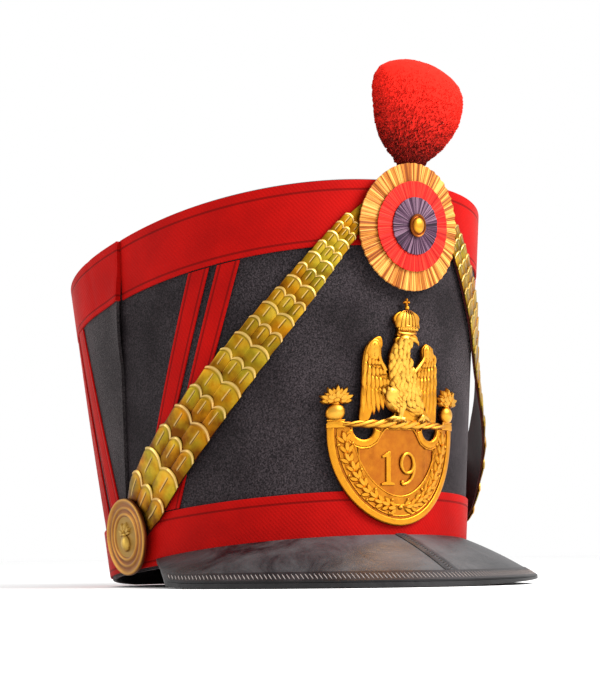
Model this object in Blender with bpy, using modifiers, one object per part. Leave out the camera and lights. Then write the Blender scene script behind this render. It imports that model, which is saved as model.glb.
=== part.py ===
"""A shako: a felt crown in two panels with red braid bands and side chevrons, a leather top and
peak, brass chin scales with their bosses, a stamped front plate, a cockade and a wool pompom.

The hat stands as it would on a table, on the back of its rim and on the outer edge of its peak,
so it leans back a little. Every piece is shaped in the hat's own frame, which an empty tilts:
the front faces -Y, the wearer's right is -X and the rim is at height 0. Most pieces lie on the
crown, so their places are given as millimetres round it from the front (positive towards the
wearer's right), millimetres up from the rim and millimetres out from the felt.
Lengths are in millimetres here and become metres when a mesh is made.
"""
import math

import bmesh
import bpy
import numpy as np
from mathutils import Matrix, Vector

MM = 0.001
GAP = 0.3  # between pieces that touch on the real hat

# The crown's outer face: a superellipse at the rim and a larger one at the top
RIM_HALF_WIDTH = 92.0
RIM_HALF_DEPTH = 95.0
RIM_POWER = 2.15
TOP_HALF_WIDTH = 103.5
TOP_HALF_DEPTH = 119.5
TOP_POWER = 2.2
TOP_SHIFT = -5.8  # the top's centre lies this far in front of the rim's
CROWN_HEIGHT = 172.0
TOP_SLOPE = math.radians(6.5)  # the top rises towards the front

# How it stands
TILT = math.radians(5.8)
REST_FLAT = 0.8  # how much felt is pressed flat under the back of the rim
DEPTH_SHIFT = 6.9  # centres the whole hat on Y
SIDE_SHIFT = -3.04  # centres it on X: its left chin scales stand away from it

FELT = 1.8
BRAID = 1.0
TOP_LEATHER = 1.2
TOP_OVERHANG = 0.6
TOP_GAP = 0.65  # over the felt's outer edge; its inner edge stands a little higher
PANEL_STEP = FELT + GAP  # the back panel lies over the front panel
SEAM_AT_RIM = 166.3  # round the crown, the back panel's edge at the rim
SEAM_LEAN = 0.05  # and how much farther back it is for each millimetre up
PANEL_OVERLAP = 8.0
GAPE = 2.0  # the back panel's right edge stands open by this
GAPE_HEIGHT = 133.0
GAPE_HALF_LENGTH = 26.0
GAPE_REACH = 16.0
COLUMN = 8.0  # width of a facet round the crown
SHARP_ANGLE = math.radians(32.0)  # edges sharper than this are shaded as edges

TOP_BAND_SHARE = 0.827  # share of the crown's height where the top band ends
BOTTOM_BAND_SHARE = 0.16
BAND_RAISE = 1.4  # the bottom band starts this far above the rim

CHEVRON_WIDTH = 11.8
CHEVRON_SPACE = 4.5
CHEVRON_THICKNESS = 0.8
CHEVRON_END_GAP = 0.7  # to the bands
# Each arm's inner strip: its middle at CHEVRON_FOOT up from the rim, and its lean away from the boss
CHEVRON_FOOT = 28.5
CHEVRON_ARMS = (
    # name, round the crown at the foot, lean in mm a mm
    ("front", 146.4, -0.27),
    ("back", 177.2, 0.47),
)

PEAK_LEATHER = 2.4
PEAK_JOINT = 7.3  # top of the peak above the rim, where it meets the crown's front
PEAK_JOINT_DROP = 2.4  # and how much lower its ends are
PEAK_END = 139.5  # round the crown
PEAK_RADIUS = 113.0  # of its outer edge on the table
PEAK_CENTRE = -33.0  # the middle of that arc, on Y
PEAK_ARC = math.radians(82.7)
PEAK_CAMBER = 1.6
PEAK_CORNER = 0.10
BORDER_WIDTH = 8.4
BORDER_LEATHER = 0.8
SEAM_STRIP_WIDTH = 5.4

BOSS_AROUND = 162.8
BOSS_HEIGHT = 18.8
BOSS_RADIUS = 20.3
BOSS_LIFT = 3.8
LEFT_BOSS_TURN = math.radians(20.0)  # the left boss leans out with its bowed chin scales
LEFT_BOSS_LIFT = 11.0
POST_RADIUS = 2.4

STRAP_LIFT = 1.6
STRAP_LEATHER = 1.1
SCALE_RISE = 1.6
SCALE_ROWS = 18
SCALE_PITCH = 15.3
SCALE_SHRINK = 0.94  # each row is this much smaller than the row below it
FIRST_ROW_EDGE = 31.4
FIRST_ROW_WIDTH = 34.0
LOBE_DEPTH = 0.30  # of a row's pitch
STRAP_LINE = (
    # round the crown, up from the rim
    (162.8, 18.8),
    (142.1, 42.3),
    (109.3, 75.6),
    (85.7, 101.3),
    (62.9, 127.8),
    (35.6, 161.5),
    (22.0, 174.4),
    (9.0, 177.0),
    (0.4, 177.0),
)
STRAP_START = 12.5
STRAP_START_WIDTH = 14.0
STRAP_FULL_AT = 21.0
STRAP_END_WIDTH = 7.5
LEFT_BOW = (
    # distance along the strap, how far it stands off the crown
    (-20.0, 0.6),
    (0.0, 7.4),
    (20.0, 14.0),
    (35.0, 18.6),
    (55.0, 13.6),
    (80.0, 7.5),
    (115.0, 0.6),
    (150.0, 0.0),
    (190.0, 0.0),
    (215.0, 0.0),
    (300.0, 0.0),
)
BOW_TWIST_TO = 70.0  # up to here the strap still twists out of the leaning boss's plane

PLATE_LIFT = 1.8
PLATE_AROUND = 1.8  # the plate's foot is this far round from the crown's middle
PLATE_LEAN = 0.03  # and its top a little farther
PLATE_FOOT = 11.5
PLATE_WIDTH_SCALE = 0.965  # from widths on the plate's face to distances round the felt
PLATE_HEIGHT_SCALE = 1.016
SHIELD_HALF_WIDTH = 39.0
SHIELD_SPREAD = 0.08  # how much farther its half on the wearer's right reaches
SPREAD_BELOW = (96.0, 66.0)  # heights above the rim between which that widening sets in
SHIELD_DEPTH = 46.9
SHIELD_MIDDLE = 58.4  # height of the half-ellipse's flat side above the rim
SHIELD_TOP = 62.0
SHIELD_BORDER = 3.5
LEAF_BAND = (5.4, 13.5)  # the leaf band's two edges, in from the shield's edge
HOLE_OFFSET = 20.8
HOLE_RADIUS = 5.6
HOLE_TOP = 60.0
PLATE_FACET = 13.0

COCKADE_HEIGHT = 163.2
COCKADE_RADIUS = 32.6
COCKADE_LIFT = 5.1
COCKADE_WIDTH_SCALE = 0.94  # from widths on its face to distances round the felt
FRINGE_THICKNESS = 1.3
PLEATS = 20
PLEAT_DEPTH = 0.35

POMPOM_AROUND = -1.5
POMPOM_FOOT = 188.7
POMPOM_LIFT = 0.5  # at its foot, behind the cockade
POMPOM_SET_FORWARD = 4.0  # and this much more where it is wide
POMPOM_DEPTH = 0.40  # its depth against its width
POMPOM_LOCKS = 10
POMPOM_PROFILE = (
    # up from the foot, half width
    (0.0, 8.0),
    (8.2, 9.0),
    (11.5, 10.4),
    (14.5, 14.6),
    (20.6, 20.9),
    (27.8, 25.4),
    (36.2, 28.5),
    (44.3, 30.0),
    (50.0, 29.4),
    (54.5, 26.8),
    (58.0, 21.5),
    (61.0, 13.5),
    (62.4, 6.0),
)
STEM_WIDTH = 8.0
STEM_LENGTH = 34.0
STEM_DROP = 1.3  # its end stays clear of the pompom's leaning foot


# ---------------------------------------------------------------- the crown's face

def superellipse(angle, half_width, half_depth, power):
    """Point at a plan angle, 0 at the front and growing towards the wearer's right."""
    x, y = -np.sin(angle), -np.cos(angle)
    reach = (np.abs(x) ** power + np.abs(y) ** power) ** (-1.0 / power)
    return half_width * x * reach, half_depth * y * reach


def rings(angle, share):
    """Plan point of the crown's face at a share of its height."""
    rim_x, rim_y = superellipse(angle, RIM_HALF_WIDTH, RIM_HALF_DEPTH, RIM_POWER)
    top_x, top_y = superellipse(angle, TOP_HALF_WIDTH, TOP_HALF_DEPTH, TOP_POWER)
    return (1 - share) * rim_x + share * top_x, (1 - share) * rim_y + share * (top_y + TOP_SHIFT)


def top_height(angle):
    """Height of the crown's upper edge."""
    return CROWN_HEIGHT - math.tan(TOP_SLOPE) * rings(angle, 1.0)[1]


def lengths(share):
    """Distance round the crown from the front, at each of ANGLES."""
    x, y = rings(ANGLES, share)
    steps = np.hypot(np.diff(x), np.diff(y))
    total = np.concatenate([[0.0], np.cumsum(steps)])
    return total - np.interp(0.0, ANGLES, total)


ANGLES = np.linspace(-1.6 * math.pi, 1.6 * math.pi, 2305)
RIM_LENGTHS = lengths(0.0)
TOP_LENGTHS = lengths(1.0)


def angle_at(around, share_at):
    """Plan angle at a distance round the crown; share_at gives the share of its height there."""
    angle = around / RIM_HALF_DEPTH
    for _ in range(14):
        share = share_at(angle)
        length = (1 - share) * np.interp(angle, ANGLES, RIM_LENGTHS)
        length = length + share * np.interp(angle, ANGLES, TOP_LENGTHS)
        angle = angle + (around - length) / TOP_HALF_DEPTH
    return angle


def wall(around, height, lift=0.0):
    """Point on the crown: millimetres round it, up from the rim, and out from the felt."""
    around, height, lift = np.broadcast_arrays(
        np.asarray(around, float), np.asarray(height, float), np.asarray(lift, float))
    angle = angle_at(around, lambda angle: height / top_height(angle))
    share = height / top_height(angle)
    x, y = rings(angle, share)
    ahead_x, ahead_y = rings(angle + 0.001, share)
    behind_x, behind_y = rings(angle - 0.001, share)
    along_x, along_y = ahead_x - behind_x, ahead_y - behind_y
    size = np.hypot(along_x, along_y)
    return np.stack([x - lift * along_y / size, y + lift * along_x / size, height], axis=-1)


def height_at(around, share):
    """Height of a share of the crown's height, at a distance round it."""
    return share * top_height(angle_at(np.asarray(around, float), lambda angle: share))


def seam(height):
    """Distance round the crown where the back panel's edge lies."""
    return SEAM_AT_RIM + SEAM_LEAN * height


def back_lift(around, height):
    """How far the back panel's inner face stands off the front panel's face."""
    behind_edge = np.clip(around - seam(height), 0.0, GAPE_REACH) / GAPE_REACH
    bump = np.clip(1 - ((height - GAPE_HEIGHT) / GAPE_HALF_LENGTH) ** 2, 0.0, 1.0)
    return GAP + GAPE * bump * (1 - behind_edge) ** 2


# ---------------------------------------------------------------- frame, materials, meshes

for leftover in list(bpy.data.objects):
    bpy.data.objects.remove(leftover)

HAT = bpy.data.collections.new("shako")
CUTTERS = bpy.data.collections.new("cutters")
bpy.context.scene.collection.children.link(HAT)
bpy.context.scene.collection.children.link(CUTTERS)

RIM_LIFT = RIM_HALF_DEPTH * math.sin(TILT) - REST_FLAT
STAND = Matrix.Translation((SIDE_SHIFT, DEPTH_SHIFT, RIM_LIFT)) @ Matrix.Rotation(-TILT, 4, "X")

hat_frame = bpy.data.objects.new("hat_frame", None)
hat_frame.location = Vector((SIDE_SHIFT, DEPTH_SHIFT, RIM_LIFT)) * MM
hat_frame.rotation_euler = (-TILT, 0, 0)
HAT.objects.link(hat_frame)


def from_table(x, y, height):
    """The hat frame's point for a place on the table, measured from under the rim's middle."""
    return np.array(STAND.inverted() @ Vector((x + SIDE_SHIFT, y + DEPTH_SHIFT, height)))


def material(name, colour, roughness, metallic=0.0):
    """A plain Principled material."""
    made = bpy.data.materials.new(name)
    made.use_nodes = True
    shader = made.node_tree.nodes["Principled BSDF"]
    shader.inputs["Base Color"].default_value = (*colour, 1.0)
    shader.inputs["Roughness"].default_value = roughness
    shader.inputs["Metallic"].default_value = metallic
    return made


BLACK_FELT = material("black_felt", (0.025, 0.022, 0.026), 0.9)
RED_BRAID = material("red_braid", (0.60, 0.02, 0.012), 0.8)
BLACK_LEATHER = material("black_leather", (0.03, 0.027, 0.03), 0.35)
GILT_BRASS = material("gilt_brass", (0.75, 0.42, 0.07), 0.3, 1.0)
SCALE_BRASS = material("scale_brass", (0.62, 0.40, 0.06), 0.35, 1.0)
BRONZE = material("bronze", (0.32, 0.12, 0.03), 0.4, 1.0)
YELLOW_SILK = material("yellow_silk", (0.85, 0.45, 0.10), 0.6)
RED_SILK = material("red_silk", (0.85, 0.02, 0.015), 0.6)
VIOLET_SILK = material("violet_silk", (0.09, 0.04, 0.12), 0.6)
RED_WOOL = material("red_wool", (0.60, 0.02, 0.012), 0.95)


def add_object(name, mesh, finish):
    """An object of the hat, in the hat's frame."""
    made = bpy.data.objects.new(name, mesh)
    mesh.materials.clear()
    mesh.materials.append(finish)
    mesh.shade_smooth()
    mesh.set_sharp_from_angle(angle=SHARP_ANGLE)
    made.parent = hat_frame
    HAT.objects.link(made)
    return made


def mesh_of(name, points, faces):
    """A mesh in metres from points in millimetres."""
    mesh = bpy.data.meshes.new(name)
    mesh.from_pydata([tuple(Vector(point) * MM) for point in points], [], faces)
    mesh.update()
    return mesh


def loft(name, loops):
    """A closed mesh through loops of equal counts.

    Seen from the last loop's side, they run anticlockwise."""
    count = len(loops[0])
    points = [point for loop in loops for point in loop]
    faces = [tuple(reversed(range(count)))]
    for row in range(len(loops) - 1):
        for k in range(count):
            low, low_next = row * count + k, row * count + (k + 1) % count
            faces.append((low, low_next, low_next + count, low + count))
    last = (len(loops) - 1) * count
    faces.append(tuple(range(last, last + count)))
    return mesh_of(name, points, faces)


def sheet(name, columns, thickness, finish):
    """A sheet whose outer face runs through columns of points, each from bottom to top,
    set out towards the wearer's right. Its thickness lies inwards."""
    count = len(columns[0])
    points = [point for column in columns for point in column]
    faces = []
    for i in range(len(columns) - 1):
        for j in range(count - 1):
            here = i * count + j
            faces.append((here, here + 1, here + count + 1, here + count))
    made = add_object(name, mesh_of(name, points, faces), finish)
    solidify = made.modifiers.new("thickness", "SOLIDIFY")
    solidify.thickness = thickness * MM
    solidify.offset = -1.0
    return made


def evaluated_mesh(made):
    """The object's mesh with its modifiers applied; the object itself is removed."""
    graph = bpy.context.evaluated_depsgraph_get()
    graph.update()
    mesh = bpy.data.meshes.new_from_object(made.evaluated_get(graph))
    bpy.data.objects.remove(made)
    return mesh


# ---------------------------------------------------------------- crown, top and bands

def crown_front():
    """The front panel, its two edges tucked under the back panel."""
    columns = []
    count = 2 * round((SEAM_AT_RIM + PANEL_OVERLAP) / COLUMN)
    for k in np.linspace(-1, 1, count + 1):
        column = []
        for share in (0.0, 0.5, 1.0):
            height = 0.0
            for _ in range(4):
                around = k * (seam(height) + PANEL_OVERLAP)
                height = height_at(around, share)
            column.append(wall(around, height))
        columns.append(column)
    sheet("crown_front", columns, FELT, BLACK_FELT)


def back_place(k, share):
    """Distance round the crown and height on the back panel, k from -1 at its left edge
    through 0 at the back to 1 at its right edge."""
    height = 0.0
    for _ in range(4):
        half_turn = np.interp(math.pi, ANGLES, (1 - share) * RIM_LENGTHS + share * TOP_LENGTHS)
        around = half_turn - k * (half_turn - seam(height))
        height = height_at(around, share)
    return around, height


def back_panel_point(k, share, lift):
    """Point on the back panel, lift out from its inner face; only its right edge gapes.
    Its upper edge is a little lower outwards, to stay under the sloping top."""
    around, height = back_place(k, share)
    off = back_lift(around, height) if k > 0 else GAP
    return wall(around, height - share * math.tan(TOP_SLOPE) * (lift + off), lift + off)


def crown_back():
    """The back panel, over the front panel's edges, pressed flat where it rests on the table."""
    shares = (0.0, 0.6, 0.72, TOP_BAND_SHARE, 1.0)
    columns = [[back_panel_point(k, share, FELT) for share in shares] for k in BACK_COLUMNS]
    panel = sheet("crown_back", columns, FELT, BLACK_FELT)

    bpy.ops.mesh.primitive_cube_add(size=1.0)
    table = bpy.context.object
    table.name = "table_cutter"
    table.scale = (0.4, 0.4, 0.1)
    table.location = (0, 0, -0.05)
    table.hide_render = True
    table.display_type = "WIRE"
    for owner in list(table.users_collection):
        owner.objects.unlink(table)
    CUTTERS.objects.link(table)
    trim = panel.modifiers.new("rest", "BOOLEAN")
    trim.operation = "DIFFERENCE"
    trim.object = table


def fine_columns(count, fine):
    """Shares from -1 to 1 whose last steps, near 1, are halved to follow the gaping edge."""
    even = list(np.linspace(-1, 1, count + 1))
    extra = [(even[-k - 1] + even[-k - 2]) / 2 for k in range(fine)]
    return sorted(even + extra)


BACK_COLUMNS = fine_columns(32, 3)[::-1]


def front_band(name, low_share, high_share, raise_low=0.0):
    """A braid band round the front panel, from one back panel edge to the other."""
    columns = []
    for k in np.linspace(-1, 1, 37):
        column = []
        for share, up in ((low_share, raise_low), (high_share, 0.0)):
            height = 0.0
            for _ in range(4):
                around = k * (seam(height) - GAP)
                height = height_at(around, share) + up
            column.append(wall(around, height, GAP + BRAID))
        columns.append(column)
    sheet(name, columns, BRAID, RED_BRAID)


def back_band(name, shares, raise_low=0.0):
    """A braid band round the back panel."""
    columns = []
    for k in BACK_COLUMNS:
        column = []
        for row, share in enumerate(shares):
            point = back_panel_point(k, share, FELT + GAP + BRAID)
            column.append(point + np.array((0, 0, raise_low if row == 0 else 0.0)))
        columns.append(column)
    sheet(name, columns, BRAID, RED_BRAID)


def crown_top():
    """The flat leather disc on the crown's upper edge, parallel to it."""
    angles = np.linspace(0, 2 * math.pi, 60, endpoint=False)
    around = np.interp(np.where(angles > math.pi, angles - 2 * math.pi, angles), ANGLES, TOP_LENGTHS)
    edge = wall(around, height_at(around, 1.0), TOP_OVERHANG)
    outline = [(x, y / math.cos(TOP_SLOPE)) for x, y, _ in edge]
    disc = flat_shape("crown_top", [outline], TOP_GAP, TOP_GAP + TOP_LEATHER)
    made = add_object("crown_top", disc, BLACK_LEATHER)
    made.location = Vector((0, 0, CROWN_HEIGHT)) * MM
    made.rotation_euler = (-TOP_SLOPE, 0, 0)


def chevron(side, arm, foot, lean, place):
    """One red strip of a side chevron: side 1 is the wearer's right, place 0 the inner strip."""
    outwards = math.copysign(1.0, lean)
    slant = math.hypot(1.0, lean)
    middle = foot + outwards * place * (CHEVRON_WIDTH + CHEVRON_SPACE) * slant
    rows = 6
    columns = []
    for across in (-0.5, 0.0, 0.5):
        column = []
        for row in range(rows):
            step = row / (rows - 1)
            height = CHEVRON_FOOT
            for _ in range(5):
                around = middle + lean * (height - CHEVRON_FOOT) + across * CHEVRON_WIDTH * slant
                low = height_at(around, BOTTOM_BAND_SHARE) + CHEVRON_END_GAP
                high = height_at(around, TOP_BAND_SHARE) - CHEVRON_END_GAP
                height = low + step * (high - low)
            off = 0.0
            if arm == "back":
                off = FELT + (back_lift(around, height) if side > 0 else GAP)
            column.append(wall(side * around, height, off + GAP + CHEVRON_THICKNESS))
        columns.append(column)
    name = f"chevron_{'right' if side > 0 else 'left'}_{arm}_{'inner' if place == 0 else 'outer'}"
    sheet(name, columns if side > 0 else columns[::-1], CHEVRON_THICKNESS, RED_BRAID)


# ---------------------------------------------------------------- peak

def peak_point(k, share, depth=0.0):
    """Point of the peak: k from -1 to 1 from its left end to its right end, share 0 at the
    crown and 1 at the outer edge, depth down from its upper face."""
    inner = wall(k * PEAK_END, PEAK_JOINT - PEAK_JOINT_DROP * abs(k) ** 3, GAP + BRAID + GAP)
    turn = k * PEAK_ARC
    outer = from_table(-PEAK_RADIUS * math.sin(turn), PEAK_CENTRE - PEAK_RADIUS * math.cos(turn),
                       PEAK_LEATHER)
    rounding = 1 - PEAK_CORNER * (max(0.0, abs(k) - 0.9) / 0.1) ** 3
    point = inner + share * rounding * (outer - inner)
    point[2] += PEAK_CAMBER * 4 * share * (1 - share) - depth
    return point


def peak_length(k):
    """Width of the peak from the crown to its outer edge."""
    return float(np.linalg.norm(peak_point(k, 1.0) - peak_point(k, 0.0)))


def peak():
    """The leather peak: its underside meets the table along the outer edge."""
    shares = np.linspace(0, 1, 6)
    loops = []
    for k in np.linspace(1, -1, 35):
        over = [peak_point(k, share) for share in shares]
        under = [peak_point(k, share, PEAK_LEATHER) for share in shares[::-1]]
        loops.append(over + under)
    add_object("peak", loft("peak", loops), BLACK_LEATHER)


def peak_border():
    """The stitched leather strip along the peak's outer edge."""
    loops = []
    for k in np.linspace(0.985, -0.985, 35):
        inner = 1 - BORDER_WIDTH / peak_length(k)
        over = [peak_point(k, share, -GAP - BORDER_LEATHER) for share in (inner, (inner + 1) / 2, 1.0)]
        under = [peak_point(k, share, -GAP) for share in (1.0, (inner + 1) / 2, inner)]
        loops.append(over + under)
    add_object("peak_border", loft("peak_border", loops), BLACK_LEATHER)


def peak_seam():
    """The narrow stitched strip down the middle of the peak."""
    length = peak_length(0.0)
    half = SEAM_STRIP_WIDTH / 2 / (PEAK_ARC * (PEAK_RADIUS - length / 2))
    last = 1 - (BORDER_WIDTH + GAP) / length
    loops = []
    for k in (half, -half):
        shares = np.linspace(GAP / length, last, 6)
        over = [peak_point(k, share, -GAP - BORDER_LEATHER) for share in shares]
        under = [peak_point(k, share, -GAP) for share in shares[::-1]]
        loops.append(over + under)
    add_object("peak_seam", loft("peak_seam", loops), BLACK_LEATHER)


# ---------------------------------------------------------------- chin scales and bosses

def smooth(table, at):
    """Value of a smooth curve through a table's rows, the first column being the place."""
    table = np.asarray(table, float)
    places, values = table[:, 0], table[:, 1:]
    row = int(np.clip(np.searchsorted(places, at) - 1, 0, len(places) - 2))
    before, after = max(row - 1, 0), min(row + 2, len(places) - 1)
    gap = places[row + 1] - places[row]
    slope_in = (values[row + 1] - values[before]) / (places[row + 1] - places[before]) * gap
    slope_out = (values[after] - values[row]) / (places[after] - places[row]) * gap
    t = (at - places[row]) / gap
    return ((2 * t ** 3 - 3 * t ** 2 + 1) * values[row] + (t ** 3 - 2 * t ** 2 + t) * slope_in
            + (3 * t ** 2 - 2 * t ** 3) * values[row + 1] + (t ** 3 - t ** 2) * slope_out)


def with_distance(line):
    """The line's rows with the distance along it in front."""
    line = np.asarray(line, float)
    steps = np.hypot(*np.diff(line, axis=0).T)
    return np.column_stack([np.concatenate([[0.0], np.cumsum(steps)]), line])


STRAP_ROUTE = with_distance(STRAP_LINE)
STRAP_LENGTH = STRAP_ROUTE[-1, 0]


def row_edge(row):
    """Distance along the strap of a row's rounded edge; row 0 is the one at the boss."""
    return FIRST_ROW_EDGE + SCALE_PITCH * (1 - SCALE_SHRINK ** row) / (1 - SCALE_SHRINK)


LAST_ROW_EDGE = row_edge(SCALE_ROWS - 1)


def strap_width(along):
    """Width of the chin scales at a distance along them."""
    last_width = FIRST_ROW_WIDTH * SCALE_SHRINK ** (SCALE_ROWS - 1)
    return float(np.interp(along, (STRAP_START, STRAP_FULL_AT, FIRST_ROW_EDGE, LAST_ROW_EDGE,
                                   LAST_ROW_EDGE + 0.5, STRAP_LENGTH),
                           (STRAP_START_WIDTH, FIRST_ROW_WIDTH, FIRST_ROW_WIDTH, last_width,
                            STRAP_END_WIDTH, STRAP_END_WIDTH)))


def strap_point(side, along, across, lift):
    """Point of the chin scales: across is in half widths, positive towards the crown's top."""
    middle = smooth(STRAP_ROUTE, along)
    ahead = smooth(STRAP_ROUTE, min(along + 0.5, STRAP_LENGTH))
    behind = smooth(STRAP_ROUTE, max(along - 0.5, 0.0))
    forward = (ahead - behind) / np.hypot(*(ahead - behind))
    upward = np.array((-forward[1], forward[0])) * -1
    aside = across * strap_width(along) / 2
    around, height = middle + upward * aside
    twist = max(0.0, 1 - along / BOW_TWIST_TO) * forward[1] / abs(forward[0])
    bow = float(smooth(LEFT_BOW, along - aside * twist)[0]) if side < 0 else 0.0
    return wall(side * around, height, lift + bow)


def lobes(row):
    """A row's rounded edge: places across it from -1 to 1, and how far the edge falls back from
    its tips at each, as a share of the row's pitch. Rows have three and two lobes by turns."""
    in_lobe = (-1.0, -0.45, 0.45, 1.0) if row % 2 == 0 else (-1.0, -0.6, 0.0, 0.6, 0.97)
    count = 3 if row % 2 == 0 else 2
    places = [(2 * lobe + 1 + place) / count - 1 for lobe in range(count) for place in in_lobe]
    falls = [LOBE_DEPTH * (1 - math.sqrt(1 - place * place)) for place in in_lobe] * count
    if row % 2 == 0:
        places = [places[k] for k in range(12) if k not in (4, 8)]
        falls = [falls[k] for k in range(12) if k not in (4, 8)]
    else:
        places[-1] = 1.0
        falls[-1] = LOBE_DEPTH
    return places, falls


def chin_scales(side):
    """A leather strap with rows of brass scales, each over the foot of the next."""

    def section(along, places, falls, rise):
        top = [strap_point(side, along - fall, place, STRAP_LIFT + STRAP_LEATHER + rise)
               for place, fall in zip(places, falls)]
        under = [strap_point(side, along - falls[0], place, STRAP_LIFT) for place in (1.0, 0.0, -1.0)]
        return top + under

    even = np.linspace(-1, 1, 10)
    loops = [section(STRAP_START, even, np.zeros(10), 0.0)]
    for row in range(SCALE_ROWS):
        places, falls = lobes(row)
        falls = np.array(falls) * SCALE_PITCH * SCALE_SHRINK ** row
        loops.append(section(row_edge(row), places, falls, SCALE_RISE * SCALE_SHRINK ** (row / 2)))
        loops.append(section(row_edge(row) + 0.3, places, falls, 0.15))
    for along in np.linspace(LAST_ROW_EDGE + 4, STRAP_LENGTH, 6):
        loops.append(section(along, even, np.zeros(10), 0.0))
    if side > 0:
        loops = loops[::-1]
    name = "chin_scales_right" if side > 0 else "chin_scales_left"
    add_object(name, loft(name, loops), SCALE_BRASS)


def wall_frame(around, height, lift, turn=0.0):
    """Matrix of a flat piece on the crown: its Z points out, its Y up; turn swings its front out."""
    point = Vector(wall(around, height, lift))
    side = (Vector(wall(around - 1, height, lift)) - Vector(wall(around + 1, height, lift))).normalized()
    rise = (Vector(wall(around, height + 1, lift)) - Vector(wall(around, height - 1, lift))).normalized()
    out = side.cross(rise).normalized()
    rise = out.cross(side)
    basis = Matrix((side, rise, out)).transposed().to_4x4()
    return Matrix.Translation(point * MM) @ basis @ Matrix.Rotation(turn, 4, "Y")


def flat_shape(name, outlines, back, front):
    """A flat shape of constant thickness: the first outline is its edge, the others are holes."""
    curve = bpy.data.curves.new(name, "CURVE")
    curve.dimensions = "2D"
    curve.fill_mode = "BOTH"
    curve.extrude = (front - back) / 2 * MM
    for outline in outlines:
        spline = curve.splines.new("POLY")
        spline.points.add(len(outline) - 1)
        for point, (x, y) in zip(spline.points, outline):
            point.co = (x * MM, y * MM, 0.0, 1.0)
        spline.use_cyclic_u = True
    flat = bpy.data.objects.new(name, curve)
    CUTTERS.objects.link(flat)
    mesh = evaluated_mesh(flat)
    bpy.data.curves.remove(curve)
    shape = bmesh.new()
    shape.from_mesh(mesh)
    bmesh.ops.remove_doubles(shape, verts=shape.verts, dist=1e-6)
    bmesh.ops.translate(shape, verts=shape.verts, vec=(0, 0, (front + back) / 2 * MM))
    bmesh.ops.recalc_face_normals(shape, faces=shape.faces)
    shape.to_mesh(mesh)
    shape.free()
    return mesh


def turned(name, profile, sides):
    """A solid turned about Z from a profile of radius and height, run from its top centre down its
    outer side to its bottom centre."""
    edge = bpy.data.meshes.new(name)
    edge.from_pydata([(radius * MM, 0, height * MM) for radius, height in profile],
                     [(k, k + 1) for k in range(len(profile) - 1)], [])
    made = bpy.data.objects.new(name, edge)
    CUTTERS.objects.link(made)
    screw = made.modifiers.new("turn", "SCREW")
    screw.steps = sides
    screw.render_steps = sides
    screw.use_merge_vertices = True
    screw.merge_threshold = 1e-5
    return evaluated_mesh(made)


def dome(name, middle, half_width, half_height, back, crest, sides=12):
    """A low dome with an elliptic foot."""
    rise = crest - back
    mesh = turned(name, ((0, crest), (0.35, crest - 0.02 * rise), (0.72, back + 0.8 * rise),
                         (1, back + 0.45 * rise), (1, back), (0, back)), sides)
    turn = Matrix.Rotation(math.pi / sides, 4, "Z")
    stretch = Matrix.Diagonal((half_width, half_height, 1, 1))
    mesh.transform(Matrix.Translation((middle[0] * MM, middle[1] * MM, 0)) @ stretch @ turn)
    return mesh


def fused(name, meshes):
    """One mesh, the union of closed meshes that overlap."""
    operands = [bpy.data.objects.new(f"{name}_{k}", mesh) for k, mesh in enumerate(meshes)]
    for operand in operands:
        CUTTERS.objects.link(operand)
    for operand in operands[1:]:
        union = operands[0].modifiers.new("union", "BOOLEAN")
        union.operation = "UNION"
        union.object = operand
    mesh = evaluated_mesh(operands[0])
    for operand in operands[1:]:
        bpy.data.objects.remove(operand)
    return mesh


def flame(middle, reach, low, tongues=5):
    """Outline of a grenade's flame: tongues fanned out above a short neck."""
    outline = [(middle[0] + 0.28 * reach, low), (middle[0] + 0.28 * reach, low + 0.15 * reach)]
    centre = low + 0.35 * reach
    for k in range(2 * tongues - 1):
        angle = math.radians(-22 + 224 * k / (2 * tongues - 2))
        size = reach if k % 2 == 0 else 0.62 * reach
        outline.append((middle[0] + size * math.cos(angle), centre + size * math.sin(angle)))
    outline += [(middle[0] - 0.28 * reach, low + 0.15 * reach), (middle[0] - 0.28 * reach, low)]
    return outline


def boss(side):
    """A turned boss with raised rings and a flaming grenade at its middle."""
    profile = (
        # radius, height
        (0.0, 1.9),
        (11.2, 1.6),
        (12.8, 2.5),
        (14.6, 1.7),
        (18.6, 2.4),
        (BOSS_RADIUS, 1.6),
        (BOSS_RADIUS, 0.0),
        (0.0, 0.0),
    )
    name = "boss_right" if side > 0 else "boss_left"
    parts = [turned(name, profile, 24),
             flat_shape("flame", [flame((0, 0), 6.0, 0.5)], 1.0, 3.0),
             dome("ball", (0, -3.6), 4.2, 4.6, 0.8, 4.6, sides=12)]
    turn, lift = 0.0, BOSS_LIFT
    if side < 0:
        turn, lift = LEFT_BOSS_TURN, LEFT_BOSS_LIFT
        clear = LEFT_BOSS_LIFT - (PANEL_STEP + GAP + BRAID + GAP)
        reach = (clear - POST_RADIUS * math.sin(turn)) / math.cos(turn)
        foot = bmesh.new()
        bmesh.ops.create_cone(foot, cap_ends=True, segments=12, radius1=POST_RADIUS * MM,
                              radius2=POST_RADIUS * MM, depth=(reach + 0.6) * MM,
                              matrix=Matrix.Translation((0, 0, (0.6 - reach) / 2 * MM)))
        post = bpy.data.meshes.new("post")
        foot.to_mesh(post)
        foot.free()
        parts.append(post)
    made = add_object(name, fused(name, parts), BRONZE)
    made.matrix_local = wall_frame(side * BOSS_AROUND, BOSS_HEIGHT, lift, turn)


# ---------------------------------------------------------------- front plate

def shield_outline(inset, top, steps=16):
    """The half-moon shield's outline, a distance in from its edge."""
    width, depth = SHIELD_HALF_WIDTH - inset, SHIELD_DEPTH - inset
    lower = [(width * math.cos(angle), SHIELD_MIDDLE + depth * math.sin(angle))
             for angle in np.linspace(math.pi, 2 * math.pi, steps + 1)]
    return lower + [(width, top), (-width, top)]


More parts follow.
